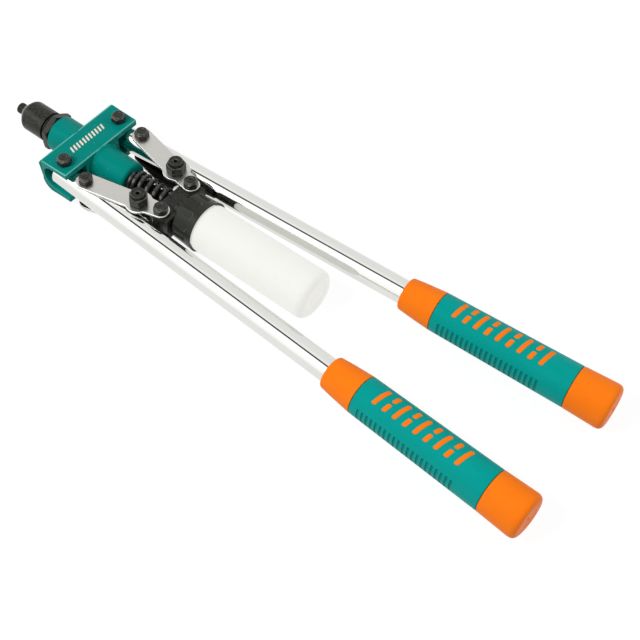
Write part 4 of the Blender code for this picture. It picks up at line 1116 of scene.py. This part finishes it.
def grip_core(name):
    """The orange core: a flared collar in front, a bed for the sleeve and a rounded end cap."""
    bed_front = SLEEVE_FRONT_RADIUS - SLEEVE_THICKNESS
    bed_rear = SLEEVE_REAR_RADIUS - SLEEVE_THICKNESS
    profile = softened([
        (TUBE_REAR + FIT, 0.0), (TUBE_REAR + FIT, TUBE_RADIUS + FIT), (GRIP_FRONT, TUBE_RADIUS + FIT, 0.2),
        (GRIP_FRONT, GRIP_FRONT_RADIUS, 1.2), (GRIP_FRONT + 9.0, GRIP_FRONT_RADIUS + 1.05, 4.0),
        (SLEEVE_FRONT, SLEEVE_FRONT_RADIUS + 0.05, 0.35), (SLEEVE_FRONT, bed_front),
        (SLEEVE_REAR, bed_rear), (SLEEVE_REAR, SLEEVE_REAR_RADIUS + 0.05, 0.35),
        (GRIP_REAR, GRIP_REAR_RADIUS, 4.6), (GRIP_REAR, 7.0, 0.5), (GRIP_REAR - 0.25, 5.8, 0.5),
        (GRIP_REAR - 0.25, 1.1), (GRIP_REAR + 0.05, 0.9), (GRIP_REAR + 0.05, 0.0),
    ], 8)
    node = f"{name}_grip_core"
    piece(node + "_body", turned(profile), GRIP_ORANGE, f"{name}_arm", arm_place(name), node)


def grip_sleeve(name):
    """The green sleeve, with a row of grooves pressed into each of its two sides."""
    start = SLEEVE_FRONT + SEAM
    end = SLEEVE_REAR - SEAM
    outside = [(start, sleeve_radius(start) - 0.5), (start + 0.15, sleeve_radius(start) - 0.15)]
    outside.append((start + 0.5, sleeve_radius(start)))
    for index in range(GROOVE_COUNT):
        low = GROOVE_FRONT + index * GROOVE_PITCH
        outside += [(low, sleeve_radius(low)), (low + GROOVE_WIDTH, sleeve_radius(low + GROOVE_WIDTH))]
    outside += [(end - 0.5, sleeve_radius(end)), (end - 0.15, sleeve_radius(end) - 0.15)]
    outside.append((end, sleeve_radius(end) - 0.5))
    wall = SLEEVE_THICKNESS - FIT
    inside = [(end, SLEEVE_REAR_RADIUS - wall), (start, SLEEVE_FRONT_RADIUS - wall)]
    bm = turned(outside + inside, 144, closed=True)
    grooves = []
    for face in bm.faces:
        centre = face.calc_center_median()
        along = (centre.x - GROOVE_FRONT) / GROOVE_PITCH
        inside_groove = 0 <= along < GROOVE_COUNT and (along % 1.0) * GROOVE_PITCH < GROOVE_WIDTH
        outer = math.hypot(centre.y, centre.z) > sleeve_radius(centre.x) - 0.5
        from_side = abs(math.atan2(centre.z, abs(centre.y)))
        if inside_groove and outer and from_side < GROOVE_SPAN:
            grooves.append(face)
    bmesh.ops.inset_region(bm, faces=grooves, thickness=0.2, depth=-GROOVE_DEPTH, use_even_offset=True)
    # Groove floors take the darker green, painted shade.
    for face in grooves:
        face.material_index = 1
    node = f"{name}_grip_sleeve"
    finishes = (GRIP_GREEN, GROOVE_SHADE_GREEN)
    piece(node + "_body", bm, finishes, f"{name}_arm", arm_place(name), node, 50)


def grip_inlay(name):
    """Orange bars that stand through the sleeve's top, a plain pattern of slanted strokes."""
    lean = 0.22
    bars = []
    for index in range(INLAY_COUNT):
        along = INLAY_FRONT + INLAY_PITCH * index
        strokes = [(0.0, INLAY_LENGTH)]
        if index % 2:
            half = (INLAY_LENGTH - INLAY_GAP) / 2
            strokes = [((half + INLAY_GAP) / 2, half), (-(half + INLAY_GAP) / 2, half)]
        for middle, length in strokes:
            for grown, rise, index_of_finish in ((0.45, 0.04, 1), (0.0, INLAY_RISE, 0)):
                bar = raised_bar(length + grown, INLAY_WIDTH + grown, 0.6 + rise, lean, 0.3)
                bmesh.ops.translate(bar, vec=(along + lean * middle, middle, -0.6), verts=bar.verts)
                for face in bar.faces:
                    face.material_index = index_of_finish
                bars.append(bar)
    shape = joined(*bars)
    for vert in shape.verts:
        radius = sleeve_radius(vert.co.x) + vert.co.z
        angle = vert.co.y / sleeve_radius(vert.co.x)
        vert.co = (vert.co.x, radius * math.sin(angle), radius * math.cos(angle))
    finishes = (GRIP_ORANGE, SEAM_SHADE)
    piece(f"{name}_grip_inlay", shape, finishes, f"{name}_arm", arm_place(name))


def paint_packed_nodes():
    """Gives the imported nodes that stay, deep inside the tool, their finishes."""
    slots = {part["node"]: part["material_slot"] for part in frame["record"]["subparts"]}
    for node, obj in frame["nodes"].items():
        obj.data.materials.clear()
        obj.data.materials.append(FINISHES[slots[node]])


# Studio


def camera():
    """The photograph's viewpoint, as a camera fitted to the tool's outline."""
    turn = math.radians(36.108)
    tilt = math.radians(53.902)
    roll = math.radians(2.537)
    right = Vector((math.cos(turn), math.sin(turn), 0.0))
    ahead = Vector((-math.sin(turn), math.cos(turn), 0.0))
    look = math.cos(tilt) * ahead - Vector((0.0, 0.0, math.sin(tilt)))
    up = math.sin(tilt) * ahead + Vector((0.0, 0.0, math.cos(tilt)))
    across = math.cos(roll) * right + math.sin(roll) * up
    upward = math.cos(roll) * up - math.sin(roll) * right
    data = bpy.data.cameras.new("camera")
    data.sensor_width = 36.0
    data.lens = 69.465
    data.clip_start = 0.01
    obj = bpy.data.objects.new("camera", data)
    bpy.context.scene.collection.objects.link(obj)
    matrix = Matrix((across, upward, -look)).transposed().to_4x4()
    matrix.translation = TOOL @ (Vector((454.834, -363.543, 597.062)) * MM)
    obj.matrix_world = matrix
    bpy.context.scene.camera = obj


def floor():
    """A plain pale floor that glows, so that it is white all over."""
    bm = bmesh.new()
    bmesh.ops.create_grid(bm, x_segments=1, y_segments=1, size=4.0)
    bmesh.ops.translate(bm, vec=(0, 0, -0.0006), verts=bm.verts)
    mesh = bpy.data.meshes.new("floor")
    bm.to_mesh(mesh)
    bm.free()
    obj = bpy.data.objects.new("floor", mesh)
    bpy.context.scene.collection.objects.link(obj)
    glow = {"Roughness": 0.9, "Emission Color": (1.0, 1.0, 1.0, 1.0), "Emission Strength": FLOOR_GLOW}
    finish = Finish("lit white floor", shine=0.0, fixed=glow)
    finish.colour(finish.noise(0.5), (0.14, 0.14, 0.14), (0.15, 0.15, 0.15))
    mesh.materials.append(finish.material)
    obj.visible_diffuse = False


def softbox(name, place, target, size, power):
    """A soft square light, which the tool doesn't mirror."""
    data = bpy.data.lights.new(name, "AREA")
    data.size = size
    data.energy = power
    obj = bpy.data.objects.new(name, data)
    bpy.context.scene.collection.objects.link(obj)
    obj.location = place
    obj.visible_glossy = False
    obj.rotation_euler = (Vector(target) - Vector(place)).to_track_quat("-Z", "Y").to_euler()


def ramp(tree, value, low, high, stops):
    """A linear ramp of (position, level) stops over a socket whose values go from low to high."""
    share = tree.nodes.new("ShaderNodeMapRange")
    share.inputs["From Min"].default_value = low
    share.inputs["From Max"].default_value = high
    tree.links.new(value, share.inputs["Value"])
    made = tree.nodes.new("ShaderNodeValToRGB")
    elements = made.color_ramp.elements
    while len(elements) > 1:
        elements.remove(elements[-1])
    for index, (position, level) in enumerate(stops):
        position = (position - low) / (high - low)
        element = elements[0] if index == 0 else elements.new(position)
        element.position = position
        element.color = (level, level, level, 1.0)
    tree.links.new(share.outputs[0], made.inputs["Fac"])
    return made.outputs["Color"]


def sky():
    """A white dome. Its dark gap shows as a line on the chrome, and its brightest band gives the glints."""
    world = bpy.data.worlds.new("studio")
    bpy.context.scene.world = world
    world.use_nodes = True
    tree = world.node_tree
    background = tree.nodes["Background"]
    where = tree.nodes.new("ShaderNodeTexCoord")
    parts = tree.nodes.new("ShaderNodeSeparateXYZ")
    tree.links.new(where.outputs["Generated"], parts.inputs[0])
    angle = tree.nodes.new("ShaderNodeMath")
    angle.operation = "ARCTAN2"
    tree.links.new(parts.outputs["Y"], angle.inputs[0])
    tree.links.new(parts.outputs["Z"], angle.inputs[1])
    stops = [(math.radians(degrees), level / SKY_LEVEL) for degrees, level in SKY_BANDS]
    across = ramp(tree, angle.outputs[0], -math.pi, math.pi, stops)
    ahead = ramp(tree, parts.outputs["X"], -1.0, 1.0, SKY_AHEAD)
    both = tree.nodes.new("ShaderNodeVectorMath")
    both.operation = "MULTIPLY"
    tree.links.new(across, both.inputs[0])
    tree.links.new(ahead, both.inputs[1])
    rays = tree.nodes.new("ShaderNodeLightPath")
    shown = tree.nodes.new("ShaderNodeMix")
    shown.data_type = "RGBA"
    soft = SKY_SOFT / SKY_LEVEL
    shown.inputs["A"].default_value = (soft, soft, soft, 1.0)
    tree.links.new(rays.outputs["Is Glossy Ray"], shown.inputs["Factor"])
    tree.links.new(both.outputs[0], shown.inputs["B"])
    tree.links.new(shown.outputs["Result"], background.inputs["Color"])
    background.inputs["Strength"].default_value = SKY_LEVEL


def studio():
    """Camera, floor, dome and lights."""
    camera()
    floor()
    sky()
    softbox("key", (-0.39, -0.81, 1.03), (0.0, 0.0, 0.0), 0.45, 10.5)
    softbox("rim", (0.8, 0.5, 0.6), (-0.1, 0.0, 0.0), 0.3, 2.0)
    bpy.context.scene.view_settings.view_transform = "Standard"


studio()
paint_packed_nodes()
head()
yoke_marks()
nose()
fasteners()
links()
pull_block()
pull_rod()
return_spring()
collar()
bottle()
for side_name in SIDES:
    tube(side_name)
    grip_core(side_name)
    grip_sleeve(side_name)
    grip_inlay(side_name)
